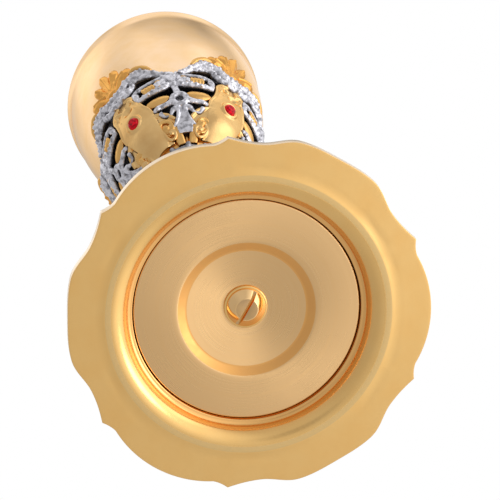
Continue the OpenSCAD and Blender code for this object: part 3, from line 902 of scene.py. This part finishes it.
def cross_frame(place):
    """Silver cross on a pierced hub, with the scroll frame that joins it to the shields."""
    c = Casting(place)
    c.ring(0, HUB_Z, 1.0, 2.8, 3.1, 1.45)
    c.tube([(0, HUB_Z + 3.4, 1.1, 1.6), (0, 214.5, 1.1, 1.4), (0, 219, 1.0, 1.7), (0, 224, 0.8, 2.4),
            (0, 227.6, 0.5, 2.9)], 0.75)
    c.both([(1.0, 219.5, 2.0, 0.5), (3.2, 224, 2.1, 0.65), (5.4, 227.8, 1.6, 0.7)])
    c.both([(4.5, HUB_Z - 0.4, 1.0, 2.0), (9, 207.4, 1.0, 1.6), (14, 207.1, 0.9, 1.35),
            (20, 207.1, 0.8, 1.4), (24.5, 206.4, 0.5, 1.1)], 0.8)
    # Fishtail foot of the cross: two curled prongs with a thin plate between them.
    c.both([(3.3, 205.4, 1.2, 1.0), (3.4, 203, 1.1, 0.85), (5.4, 200.3, 1.0, 0.8), (9.5, 198.2, 0.8, 0.75),
            (14.5, 197.1, 0.5, 0.55)])
    c.plate([(194.6, 9), (196.4, 10), (198.4, 8), (201, 5), (205, 4.4)], lambda u, z: 1.2 + 0 * u * z, -1.3)
    c.blob(0, HUB_Z, -0.1, 2.2, 2.4, 0.7)
    c.both([(5, 204.2, 0.8, 1.5), (8.5, 203.6, 0.7, 1.3), (12, 202.2, 0.5, 0.7), (17, 202.2, 0.4, 0.7),
            (20.5, 204.4, 0.6, 1.2)])
    # Frame above the arms: the bar over the crescent opening, curls, end blocks and a top bar.
    bar = [(3.5, 219.5, 0.8, 1.4), (6.5, 218.0, 0.9, 1.4), (12, 217.5, 0.9, 1.4), (18, 217.4, 0.9, 1.35),
           (24, 217.4, 0.8, 1.3), (30.5, 217.4, 0.6, 1.2)]
    c.both(bar)
    c.both([(3, 226.8, 0.7, 1.2), (9, 226.2, 0.7, 1.1), (17, 225.9, 0.6, 1.0), (24, 225.6, 0.6, 1.1),
            (29.5, 224.4, 0.4, 1.2)])
    c.both([(30, 218, 0.5, 1.2), (29.5, 221, 0.8, 1.6), (30, 224, 0.5, 1.3)])
    c.both([(6.2, 218.5, 0.9, 1.2), (5.6, 221.5, 0.9, 1.2), (6, 225, 0.8, 1.2)])
    for side in SIDES:
        c.spiral(side * 10.5, 221.3, 0.9, 2.3, 0.95, hand=side)
        c.span_plate(side * 18, 14.0, 217.0, 226.4, -0.3, -1.3)
        c.bead(side * 24.2, 223.6, 0.8, 1.0)
        c.bead(side * 24.2, 218.6, 0.9, 1.0)
        c.bead(side * 20.5, 206.4, 1.4, 1.0)
        c.pearls([(side * p[0], *p[1:]) for p in bar], 8, 0.75)
    return c


def cross_inlay(place):
    """Gilt parts set in the silver frame: lenses over the arms, ribbed blocks and small leaves."""
    c = Casting(place)
    for side in SIDES:
        c.blob(side * 17.5, 211.4, 0.1, 5.2, 2.8, 1.2)
        for k in range(4):
            a = side * (14.6 + 2.5 * k)
            c.tube([(a, 218.4, 0.9, 0.7), (a + side * 0.3, 220.8, 1.5, 0.95),
                    (a + side * 0.6, 223.4, 0.9, 0.7)])
        c.span_plate(side * 18.6, 5.0, 218.3, 223.6, 0.6, -0.8)
        c.blob(side * 9.5, 223.9, 0.9, 1.5, 1.0, 1.0)
        c.bead(side * 10.2, 219.4, 1.2, 0.75)
    return c


def arch(place):
    """Silver arch over a shield: a granulated band with volutes, over a second, lower band."""
    c = Casting(place)
    band = [(0, 233.8, 0.9, 1.8), (7, 234.6, 1.0, 1.9), (13, 236.6, 1.1, 2.0), (20, 238.0, 1.1, 2.0),
            (26, 236.0, 1.0, 1.9), (31, 232.6, 0.9, 1.8), (36, 229.6, 0.8, 1.6), (41, 227.8, 0.7, 1.5)]
    inner = [(0, 227.6, 0.8, 1.5), (7, 228.0, 0.9, 1.5), (12, 229.4, 0.9, 1.5), (15.5, 231.8, 0.9, 1.4)]
    c.both(band)
    c.both(inner)
    c.both([(0, 230.8, 1.0, 1.6), (5, 231.3, 1.0, 1.5), (10, 233.2, 0.9, 1.4)])
    c.both([(30, 233.0, 0.7, 1.4), (24, 233.8, 0.8, 1.5), (18.5, 234.2, 0.8, 1.5), (14.5, 233.4, 0.8, 1.4)])
    for side in SIDES:
        c.spiral(side * 19.5, 236.8, 1.5, 2.4, 1.0, hand=-side)
        c.spiral(side * 6.0, 230.6, 1.3, 2.0, 0.9, hand=side)
        c.spiral(side * 29.5, 232.2, 1.0, 1.8, 0.8, hand=side)
        c.pearls([(side * p[0], *p[1:]) for p in band], 14, 0.95)
        c.pearls([(side * p[0], *p[1:]) for p in inner], 7, 0.85)
    c.span_plate(0, 15, 227.4, 235.5, -0.1, -1.2)
    c.span_plate(0, 28, 233.0, 236.5, -0.5, -1.5)
    return c


def arch_inlay(place):
    """Gilt leaves laid along the shoulders of the arch."""
    c = Casting(place)
    c.both([(31, 234.4, 2.2, 0.8), (27.5, 237.8, 2.6, 1.2), (22, 240.5, 2.6, 1.3),
            (17, 240.6, 2.3, 0.9)], 0.8)
    return c


def palmette(place):
    """Gilt crest of five fluted petals on a small root."""
    c = Casting(place)
    for k in range(-2, 3):
        tip = 257 - 2.0 * abs(k) - 1.4 * k * k
        turn = 8.0 * k
        mid = (238 + tip) / 2
        c.tube([(1.8 * k, 236.5, 0.9, 1.5), (0.55 * turn, mid - 1, 1.2, 1.7),
                (0.85 * turn, tip - 4.5, 1.4, 2.4), (turn, tip - 1.6, 1.2, 1.9),
                (1.03 * turn, tip, 0.7, 0.8)], 0.8)
        c.tube([(0.3 * turn, 242, 2.0, 0.5), (0.6 * turn, mid + 1, 2.5, 0.6),
                (0.9 * turn, tip - 3.5, 3.1, 0.8)])
    for k in SIDES:
        c.tube([(0.8 * k, 238, 1.0, 0.7), (3.0 * k, 244, 0.9, 0.9), (4.6 * k, 250, 0.6, 0.6)])
        c.spiral(k * 14.5, 241.2, 1.0, 2.2, 0.9, hand=k)
    c.blob(0, 238.6, 1.0, 3.4, 2.2, 1.6)
    return c


def mark_lift(obj, lift_of):
    """Stores how far each vertex stands off the skin, in millimetres, for the oxide in the hollows."""
    co = np.zeros(len(obj.data.vertices) * 3, np.float32)
    obj.data.vertices.foreach_get("co", co)
    lift = lift_of(co.reshape(-1, 3) / MM)
    attribute = obj.data.attributes.new("lift", "FLOAT", "POINT")
    attribute.data.foreach_set("value", lift.astype(np.float32))


def calyx_lift(points):
    return (np.hypot(points[:, 0], points[:, 1]) - curve_through(CALYX_SKIN, points[:, 2])) * 0.9


def repeat(source, name, angles, material, slot, node):
    """One copy of an ornament at each angle, with the turn in its mesh. Each stands for its own CAD
    node, if there is one."""
    for i, angle in enumerate(angles, 1):
        copy = source.copy()
        copy.data = source.data.copy()
        copy.name = f"{name}_{i}"
        copy.data.transform(Matrix.Rotation(math.radians(angle), 4, "Z"))
        bpy.context.scene.collection.objects.link(copy)
        add_piece(copy, material, slot, *[f"{node}_{i}"] * bool(node))
    bpy.data.objects.remove(source)


def cast_all(plan, place_at, lift_of):
    """Casts each ornament once and repeats it. A plan's row holds the CAD node, the piece's name or what
    is added to the node's, the ornament, the voxel and the grain in millimetres, and where it goes."""
    for node, name, make, voxel, grain, angles, material, slot in plan:
        name = node + name if name.startswith("_") else name
        source = make(place_at(angles)).fuse(name, voxel, grain)
        mark_lift(source, lift_of)
        repeat(source, name, angles, material, slot, node)


def build_calyx():
    at_shields = spread("calyx_stone_1", LOBES)
    at_crosses = [angle - 180 / LOBES for angle in at_shields]
    plan = [
        ("calyx_shield", "_cast", shield, 0.30, 0.05, at_shields, satin_cast, "gilt_polished"),
        ("calyx_cross", "_cast", cross_frame, 0.22, 0.22, at_crosses, silver, "silver_cast"),
        ("", "calyx_inlay", cross_inlay, 0.22, 0.10, at_crosses, cast_gilt, "gilt_cast"),
        ("calyx_scroll", "calyx_arch", arch, 0.24, 0.45, at_shields, silver, "silver_cast"),
        ("", "calyx_arch_inlay", arch_inlay, 0.24, 0.10, at_shields, cast_gilt, "gilt_cast"),
        ("calyx_crest", "_cast", palmette, 0.24, 0.12, at_shields, crest_gilt, "gilt_cast"),
    ]
    cast_all(plan, lambda angles: on_cross if angles is at_crosses else on_calyx, calyx_lift)
    gem = stone_on(on_calyx, STONE_Z, 1.7, 2.6, 3.1, 1.3)
    repeat(gem, "calyx_gem", at_shields, red, "red_stone", "calyx_stone")
    build_calyx_base(at_crosses)
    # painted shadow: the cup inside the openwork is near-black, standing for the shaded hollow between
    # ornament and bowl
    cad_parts["calyx_cup"].data.materials.clear()
    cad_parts["calyx_cup"].data.materials.append(dark)


def build_calyx_base(at_crosses):
    """Gilt under-bowl with ribbed shells on each side of the crosses, over a silver shell ring."""
    under = Casting(on_calyx)
    bottom, top = heights("calyx_base")
    rise = np.linspace(bottom + 0.1, top + 1.5, 14)
    core = [(8.5, rise[0])] + [(float(curve_through(CALYX_SKIN, z)) - 1.3, z) for z in rise]
    core += [(12.5, rise[-1]), (8.5, top - 6)]
    under.add(*revolved(core, 128))
    for angle in at_crosses:
        for side in SIDES:
            under.spiral(angle + side * 21, 197.8, 0.3, 3.4, 1.1, hand=side, start=200)
            for k in range(3):
                a = angle + side * (9 + 3.5 * k)
                under.tube([(a - side * 3, 191.5, -0.6, 0.9), (a - side, 194.5, -0.1, 1.2),
                            (a + side * 2, 197.2 + 0.5 * k, 0.1, 1.0)])
    obj = under.fuse("calyx_base_cast", 0.36, 0.10, keep=1.0)
    mark_lift(obj, calyx_lift)
    add_piece(obj, cast_gilt, "gilt_cast", "calyx_base")

    ring = Casting(on_calyx)
    low, high = heights("calyx_collar")
    cone = [(5, low), (9.2, low), (10.2, low + 2), (12.6, high - 0.8), (13.0, high), (8.3, high),
            (5, low + 3)]
    ring.add(*revolved(cone, 96))
    shells = 12
    for k in range(shells):
        a = at_crosses[0] + 360 / shells * k
        for turn, reach_up, bar in ((-8, 0.2, 0.9), (0, 1.2, 1.15), (8, 0.2, 0.9)):
            ring.tube([(a + turn * 0.3, low + 1.2, 1.8, 0.8), (a + turn * 0.8, low + 4, 1.0, bar),
                       (a + turn, high + 0.2 + reach_up, 0.6, bar)])
    obj = ring.fuse("calyx_collar_cast", 0.28, 0.25)
    mark_lift(obj, lambda p: 1.0 + (np.hypot(p[:, 0], p[:, 1]) - 9.2 - 0.75 * (p[:, 2] - low)) * 0.8)
    add_piece(obj, silver, "silver_cast", "calyx_collar")


# ---------------------------------------------------------------- the stem

BAND_RELIEF = 1.6            # how far the ornament of the knot's band stands off it


def turned_stem(node, suffix, radii, relief, material=cast_gilt, slot="gilt_cast"):
    """Turned piece with a bore: radii are (share of the height, radius) points along its outside."""
    low, high = heights(node)
    tall = high - low
    outside = [(float(curve_through(radii, (z - low) / tall)), z) for z in np.linspace(low, high, 72)]

    def shape(angle, r, height):
        return np.where(r > BORE_R + 0.1, r + relief(angle, (height - low) / tall), r), height

    piece = revolve(node + suffix, [(BORE_R, low)] + outside + [(BORE_R, high)], 288, shape)
    mark_lift(piece, lambda p: np.full(len(p), 1.0))
    add_piece(piece, material, slot, node)


def acanthus(leaves, depth, turn=0.0):
    """Relief of pointed leaves with a midrib and side veins that climb a turned piece."""
    def relief(angle, share):
        phase = np.mod((angle - turn) / 360 * leaves, 1) - 0.5
        width = 0.46 * np.sin(np.clip(share * 1.15, 0, 1) * math.pi) ** 0.6 + 0.02
        inside = blend_step(0, 0.12, width - np.abs(phase))
        rib = np.exp(-(phase / 0.035) ** 2)
        veins = 0.5 + 0.5 * np.cos((np.abs(phase) * 9 - share * 7) * 2 * math.pi)
        leaf = inside * (0.65 + 0.45 * rib + 0.18 * veins * (1 - rib))
        return depth * leaf * blend_step(0.0, 0.08, share) * blend_step(1.0, 0.9, share)
    return relief


def gadroons(count, depth):
    """Relief of count upright lobes, fullest at mid height."""
    def relief(angle, share):
        wave = (0.5 + 0.5 * np.cos(np.radians(angle) * count)) ** 0.5
        return depth * wave * np.sin(np.clip(share, 0, 1) * math.pi) ** 0.7
    return relief


def build_stem():
    r = reach("foot_collar")
    turned_stem("foot_collar", "_turned",
                [(0, r - 3.2), (0.15, r - 1.6), (0.3, r - 0.5), (0.5, r), (0.7, r - 0.5), (0.85, r - 1.6),
                 (0.93, r - 4.0), (1, r - 4.6)], gadroons(36, 0.45), cast_gilt, "gilt_polished")
    r = reach("lower_baluster")
    turned_stem("lower_baluster", "_cast",
                [(0, 7.5), (0.06, 7.2), (0.14, 7.6), (0.3, r - 2.6), (0.5, r - 0.9), (0.68, r - 2.0),
                 (0.84, r - 4.4), (0.93, 7.4), (1, 7.8)], acanthus(8, 1.0))
    for node in ("knot_lower_collar", "knot_upper_collar"):
        r = reach(node)
        turned_stem(node, "_cast",
                    [(0, r - 2.6), (0.2, r - 1.4), (0.5, r - 0.35), (0.8, r - 1.4), (1, r - 2.6)],
                    gadroons(28, 0.5), silver, "silver_cast")
    r = reach("knot_core")
    turned_stem("knot_core", "_cast",
                [(0, 9), (0.08, 10), (0.22, 14.2), (0.36, r - 2.9), (0.5, r - 0.8), (0.64, r - 2.9),
                 (0.78, 14.2), (0.92, 10), (1, 9)], knot_leaves)
    r = reach("upper_baluster")
    turned_stem("upper_baluster", "_cast",
                [(0, 7.2), (0.1, 6.9), (0.3, r - 2.2), (0.55, r - 0.9), (0.8, r - 2.6), (0.92, 6.9),
                 (1, 7.2)], acanthus(8, 0.8, 22.5))
    build_knot_band()


def knot_leaves(angle, share):
    """Leaves that close over the knot from its top and its bottom."""
    leaf = acanthus(8, 1.0)
    below = leaf(angle, np.clip(share * 2, 0, 1))
    above = leaf(angle + 22.5, np.clip((1 - share) * 2, 0, 1))
    return np.where(share < 0.5, below, above) * 0.9


def on_knot(angle, height, lift):
    """Point on the silver band round the knot, height from -1 to 1."""
    angle, height, lift = arrays(angle, height, lift)
    low, high = heights("knot_band")
    return cylindrical(angle, reach("knot_band") - BAND_RELIEF + lift, (low + high) / 2 + height)


def build_knot_band():
    """Silver band with four bezels, crossed by scrolls, and its stones."""
    low, high = heights("knot_band")
    inner = reach("knot_core") - 1.2
    outer = reach("knot_band") - BAND_RELIEF
    band = Casting(on_knot)
    hoop = [(inner, low, 0.3), (outer, low, 0.8), (outer, high, 0.8), (inner, high, 0.3)]
    band.add(*revolved(rounded(hoop), 160))
    half = (high - low) / 2
    at_stones = spread("knot_stone_1", LOBES)
    for a in at_stones:
        band.ring(a, 0, 0.6, 3.3, 3.3, 0.8)
        band.blob(a, 0, 0.0, 3.4, 3.4, 0.8)
        for side in SIDES:
            band.spiral(a + side * 17, 0, 0.7, 2.4, 0.75, hand=side)
            band.spiral(a + side * 32, 0, 0.7, 2.2, 0.7, hand=-side, start=270)
            band.tube([(a + side * 9.5, -half + 0.9, 0.5, 0.6), (a + side * 13, 0, 0.9, 0.7),
                       (a + side * 9.5, half - 0.9, 0.5, 0.6)])
        band.bead(a + 45, 0, 0.9, 1.5)
    for k in range(72):
        for edge in (-half + 0.2, half - 0.2):
            band.bead(5 * k, edge, 0.2, 0.75)
    obj = band.fuse("knot_band_cast", 0.30, 0.15, keep=1.0)
    mark_lift(obj, lambda p: np.hypot(p[:, 0], p[:, 1]) - outer + 0.2)
    add_piece(obj, silver, "silver_cast", "knot_band")
    gem = stone_on(on_knot, 0, 1.0, 2.8, 2.8, 1.3)
    repeat(gem, "knot_gem", at_stones, red, "red_stone", "knot_stone")


# ---------------------------------------------------------------- ornaments on top of the foot

def foot_lift(points):
    """How far points stand off the foot's dome, near enough for its lower half."""
    r = np.hypot(points[:, 0], points[:, 1])
    return (np.hypot((r - DOME_CENTRE) / DOME_W, (points[:, 2] - DOME_Z) / DOME_H) - 1) * DOME_H


def foot_shield(place):
    """Bulging gilt plate with a round bezel, edged by rolled leaves, over a wide lobe."""
    c = Casting(place)
    outline = [(0.03, 9), (0.08, 13), (0.15, 14), (0.22, 11.5), (0.3, 9.5), (0.38, 8.5), (0.46, 6),
               (0.52, 2)]

    def front(u, v):
        return 0.8 + 3.0 * np.exp(-((v - 0.22) / 0.13) ** 2) * (1 - u ** 2) ** 0.6

    c.plate(outline, front, -1.5)
    c.both([(8, 0.03, 0.9, 0.8), (13.4, 0.08, 1.0, 1.1), (14.4, 0.15, 1.1, 1.1), (11.8, 0.22, 1.1, 1.0),
            (9.6, 0.3, 1.2, 1.1), (8.6, 0.38, 1.3, 1.1), (5.6, 0.47, 1.3, 1.0), (1.5, 0.52, 1.3, 0.9)])
    c.blob(0, 0.24, 2.2, 5.4, 5.4, 2.2)
    c.ring(0, 0.24, 3.9, 4.4, 4.4, 0.8)
    for k in range(-2, 3):
        c.tube([(0.6 * k, 0.50, 1.2, 1.2), (2.2 * k, 0.56, 1.6, 1.5),
                (3.9 * k, 0.64 - 0.015 * k * k, 1.2, 0.9)], 0.7)
    return c


def foot_scrolls(place):
    """Silver scrollwork along a wide lobe's edge and up both sides of its shield."""
    c = Casting(place)
    rail = [(0, 0.012, 1.2, 1.5), (9, 0.012, 1.2, 1.5), (17, 0.02, 1.2, 1.6), (24, 0.03, 1.2, 1.5)]
    c.both(rail)
    c.both([(24, 0.03, 1.2, 1.5), (28, 0.10, 1.2, 1.5), (25, 0.19, 1.2, 1.6), (18, 0.22, 1.2, 1.5),
            (14.5, 0.31, 1.2, 1.6), (15, 0.42, 1.1, 1.5), (11, 0.52, 1.1, 1.4), (8, 0.62, 1.0, 1.2)])
    c.both([(17, 0.05, 1.2, 1.2), (18.5, 0.12, 1.3, 1.3), (23, 0.12, 1.3, 1.2), (23, 0.07, 1.3, 1.0)])
    for side in SIDES:
        c.spiral_on_foot(side * 21, 0.33, 1.2, 3.6, 1.2, side)
        c.spiral_on_foot(side * 20, 0.15, 1.2, 3.4, 1.1, -side)
        c.pearls([(side * p[0], *p[1:]) for p in rail], 10, 1.0, 0)
    return c


def foot_cross(place):
    """Silver cross with a pierced hub, lying over a narrow lobe on a bed of scrolls."""
    c = Casting(place)
    c.ring(0, 0.24, 2.6, 3.0, 3.0, 1.6)
    c.tube([(0, 0.28, 2.6, 1.7), (0, 0.36, 2.4, 1.6), (0, 0.44, 2.0, 2.3)], 0.8)
    c.tube([(0, 0.20, 2.6, 1.7), (0, 0.12, 2.4, 1.6), (0, 0.05, 1.8, 2.3)], 0.8)
    c.both([(3.5, 0.24, 2.6, 1.7), (7.5, 0.24, 2.3, 1.6), (11, 0.24, 1.9, 2.2)], 0.8)
    c.both([(2, 0.03, 1.2, 1.3), (9, 0.03, 1.2, 1.4), (14, 0.07, 1.2, 1.4), (15.5, 0.16, 1.2, 1.4),
            (17, 0.25, 1.2, 1.4), (15, 0.34, 1.2, 1.4), (9, 0.42, 1.2, 1.3), (5, 0.52, 1.1, 1.2),
            (2, 0.6, 1.0, 1.2)])
    for side in SIDES:
        c.spiral_on_foot(side * 8, 0.12, 1.2, 3.4, 1.1, side)
        c.spiral_on_foot(side * 8, 0.35, 1.2, 3.2, 1.1, -side)
        c.tube([(side * 10, 0.05, 1.1, 1.1), (side * 8, 0.12, 1.1, 1.0), (side * 11, 0.19, 1.1, 1.0)])
        c.tube([(side * 6, 0.29, 1.2, 1.0), (side * 8, 0.35, 1.1, 1.0), (side * 11.5, 0.39, 1.1, 1.1)])
    return c


def build_foot_top():
    at_shields = spread("foot_stone_1", FOOT_LOBES)
    at_crosses = spread("foot_cross_1", FOOT_LOBES)
    plan = [
        ("foot_shield", "_cast", foot_shield, 0.32, 0.06, at_shields, satin_cast, "gilt_polished"),
        ("foot_scroll", "_cast", foot_scrolls, 0.32, 0.6, at_shields, silver, "silver_cast"),
        ("foot_cross", "_cast", foot_cross, 0.32, 0.5, at_crosses, silver, "silver_cast"),
    ]
    cast_all(plan, lambda angles: foot_place(angles[0]), foot_lift)
    gem = stone_on(foot_place(at_shields[0]), 0.24, 4.2, 3.5, 3.5, 1.7)
    repeat(gem, "foot_gem", at_shields, red, "red_stone", "foot_stone")


def foot_place(turn):
    """The foot's skin at the angle turn, turned back to lie over +X."""
    back = math.radians(-turn)

    def place(a, v, lift):
        point = on_foot(np.asarray(a) + turn, v, lift)
        x, y = point[..., 0], point[..., 1]
        turned = (x * math.cos(back) - y * math.sin(back), x * math.sin(back) + y * math.cos(back))
        return np.stack([*turned, point[..., 2]], -1)
    return place


# ---------------------------------------------------------------- camera, light and floor

VIEW_AZIMUTH, VIEW_ELEVATION = -112.54, -72.48     # direction from the aim point to the camera
VIEW_ROLL = -23.245
VIEW_AIM = (8.68, -3.60, 70.18)
VIEW_DISTANCE = 1625.3
VIEW_LENS = 316.8


def build_camera():
    data = bpy.data.cameras.new("camera")
    data.lens = VIEW_LENS
    data.sensor_width = 36
    data.clip_start, data.clip_end = 0.05, 20
    camera = bpy.data.objects.new("camera", data)
    a, e = math.radians(VIEW_AZIMUTH), math.radians(VIEW_ELEVATION)
    back = Vector((math.cos(a) * math.cos(e), math.sin(a) * math.cos(e), math.sin(e)))
    camera.location = (Vector(VIEW_AIM) + back * VIEW_DISTANCE) * MM
    camera.rotation_mode = "QUATERNION"
    turn = Matrix.Rotation(math.radians(VIEW_ROLL), 3, back)
    camera.rotation_quaternion = (turn @ (-back).to_track_quat("-Z", "Y").to_matrix()).to_quaternion()
    bpy.context.scene.collection.objects.link(camera)
    bpy.context.scene.camera = camera
    return camera


def build_world():
    """White studio: pale walls, soft boxes that the metal mirrors, and plain white behind the object."""
    world = bpy.data.worlds.new("studio")
    bpy.context.scene.world = world
    world.use_nodes = True
    world.node_tree.nodes.clear()
    n = Nodes(world.node_tree)
    direction = n.node("ShaderNodeTexCoord").outputs["Generated"]
    total = 0.0
    for toward, start, full, strength in STUDIO:
        aim = {0: direction, 1: Vector(toward).normalized()}
        dot = n.node("ShaderNodeVectorMath", aim, operation="DOT_PRODUCT").outputs["Value"]
        total = n.math("ADD", total, n.remap(dot, start, full, 0.0, strength, "SMOOTHSTEP"))
    lit = {"Color": rgb(1, 1, 1), "Strength": n.math("MAXIMUM", total, 0.02)}
    studio = n.node("ShaderNodeBackground", lit).outputs[0]
    white = n.node("ShaderNodeBackground", {"Color": rgb(1, 1, 1)}).outputs[0]
    seen = n.node("ShaderNodeLightPath").outputs["Is Camera Ray"]
    n.node("ShaderNodeOutputWorld", {"Surface": n.either(seen, studio, white)})


# Patches of studio light: direction, cosine where it starts, cosine where it is full, strength.
STUDIO = [
    ((0, 0, 1), -1.01, -1.0, 0.60),
    ((0.05, -0.62, 0.78), 0.84, 0.97, 0.42),
    ((0.7, -0.35, 0.6), 0.80, 0.95, 0.25),
    ((0.85, -0.5, -0.05), 0.80, 0.97, 0.60),
    ((-0.25, -0.05, 0.965), 0.965, 0.992, 0.20),
    ((-0.55, -0.08, 0.83), 0.88, 0.98, 0.26),
    ((-0.38, 0.16, 0.91), 0.93, 0.985, 0.20),
    ((0.32, 0.16, 0.93), 0.97, 0.995, 0.40),
    ((0.12, -0.27, 0.955), 0.965, 0.99, -0.25),
    ((0.9, -0.2, -0.45), 0.35, 0.95, 0.62),
    ((-0.9, 0.1, -0.3), 0.4, 0.95, -0.10),
    ((-0.12, -0.28, -0.95), 0.96, 0.995, -0.15),
]


def add_area(name, place, aim, size, power):
    data = bpy.data.lights.new(name, "AREA")
    data.shape = "DISK"
    data.size = size
    data.energy = power
    light = bpy.data.objects.new(name, data)
    light.location = place
    light.rotation_euler = (Vector(aim) - Vector(place)).to_track_quat("-Z", "Y").to_euler()
    bpy.context.scene.collection.objects.link(light)


def build_lights():
    add_area("key_below_right", (0.8, -0.1, -0.75), (0, 0, 0.05), 0.5, 0.8)
    add_area("near_right", (0.34, -0.02, -0.28), (0.03, 0, 0), 0.25, 0.2)


def build_floor():
    """Pale floor under the foot. Its lower side is clear, so that a camera below it sees the object."""
    size = 4.0
    bpy.ops.mesh.primitive_plane_add(size=size, location=(0, 0, -0.0004))
    floor = bpy.context.object
    floor.name = "floor"
    s = Shader("floor", Roughness=0.9, Base_Color=rgb(0.86, 0.86, 0.86))
    away = s.node("ShaderNodeVectorMath", {0: s.place}, operation="LENGTH").outputs["Value"]
    fade = s.node("ShaderNodeEmission", {"Color": rgb(1, 1, 1)}).outputs[0]
    near = s.either(s.remap(away, 0.12, 0.9, 0.0, 1.0), s.surface.outputs[0], fade)
    clear = s.node("ShaderNodeBsdfTransparent").outputs[0]
    side = s.either(s.node("ShaderNodeNewGeometry").outputs["Backfacing"], near, clear)
    s.set(s.tree.nodes["Material Output"], {"Surface": side})
    floor.data.materials.append(s.material)
    for ray in ("shadow", "glossy", "diffuse", "transmission"):
        setattr(floor, "visible_" + ray, False)


# ---------------------------------------------------------------- everything in its place

scene = bpy.context.scene
scene.view_settings.view_transform = "Standard"

build_foot()
build_disc()
build_bolt()
build_washer()
build_bowl()
build_stem()
build_calyx()
build_foot_top()
build_camera()
build_world()
build_lights()
build_floor()

bpy.context.view_layer.update()
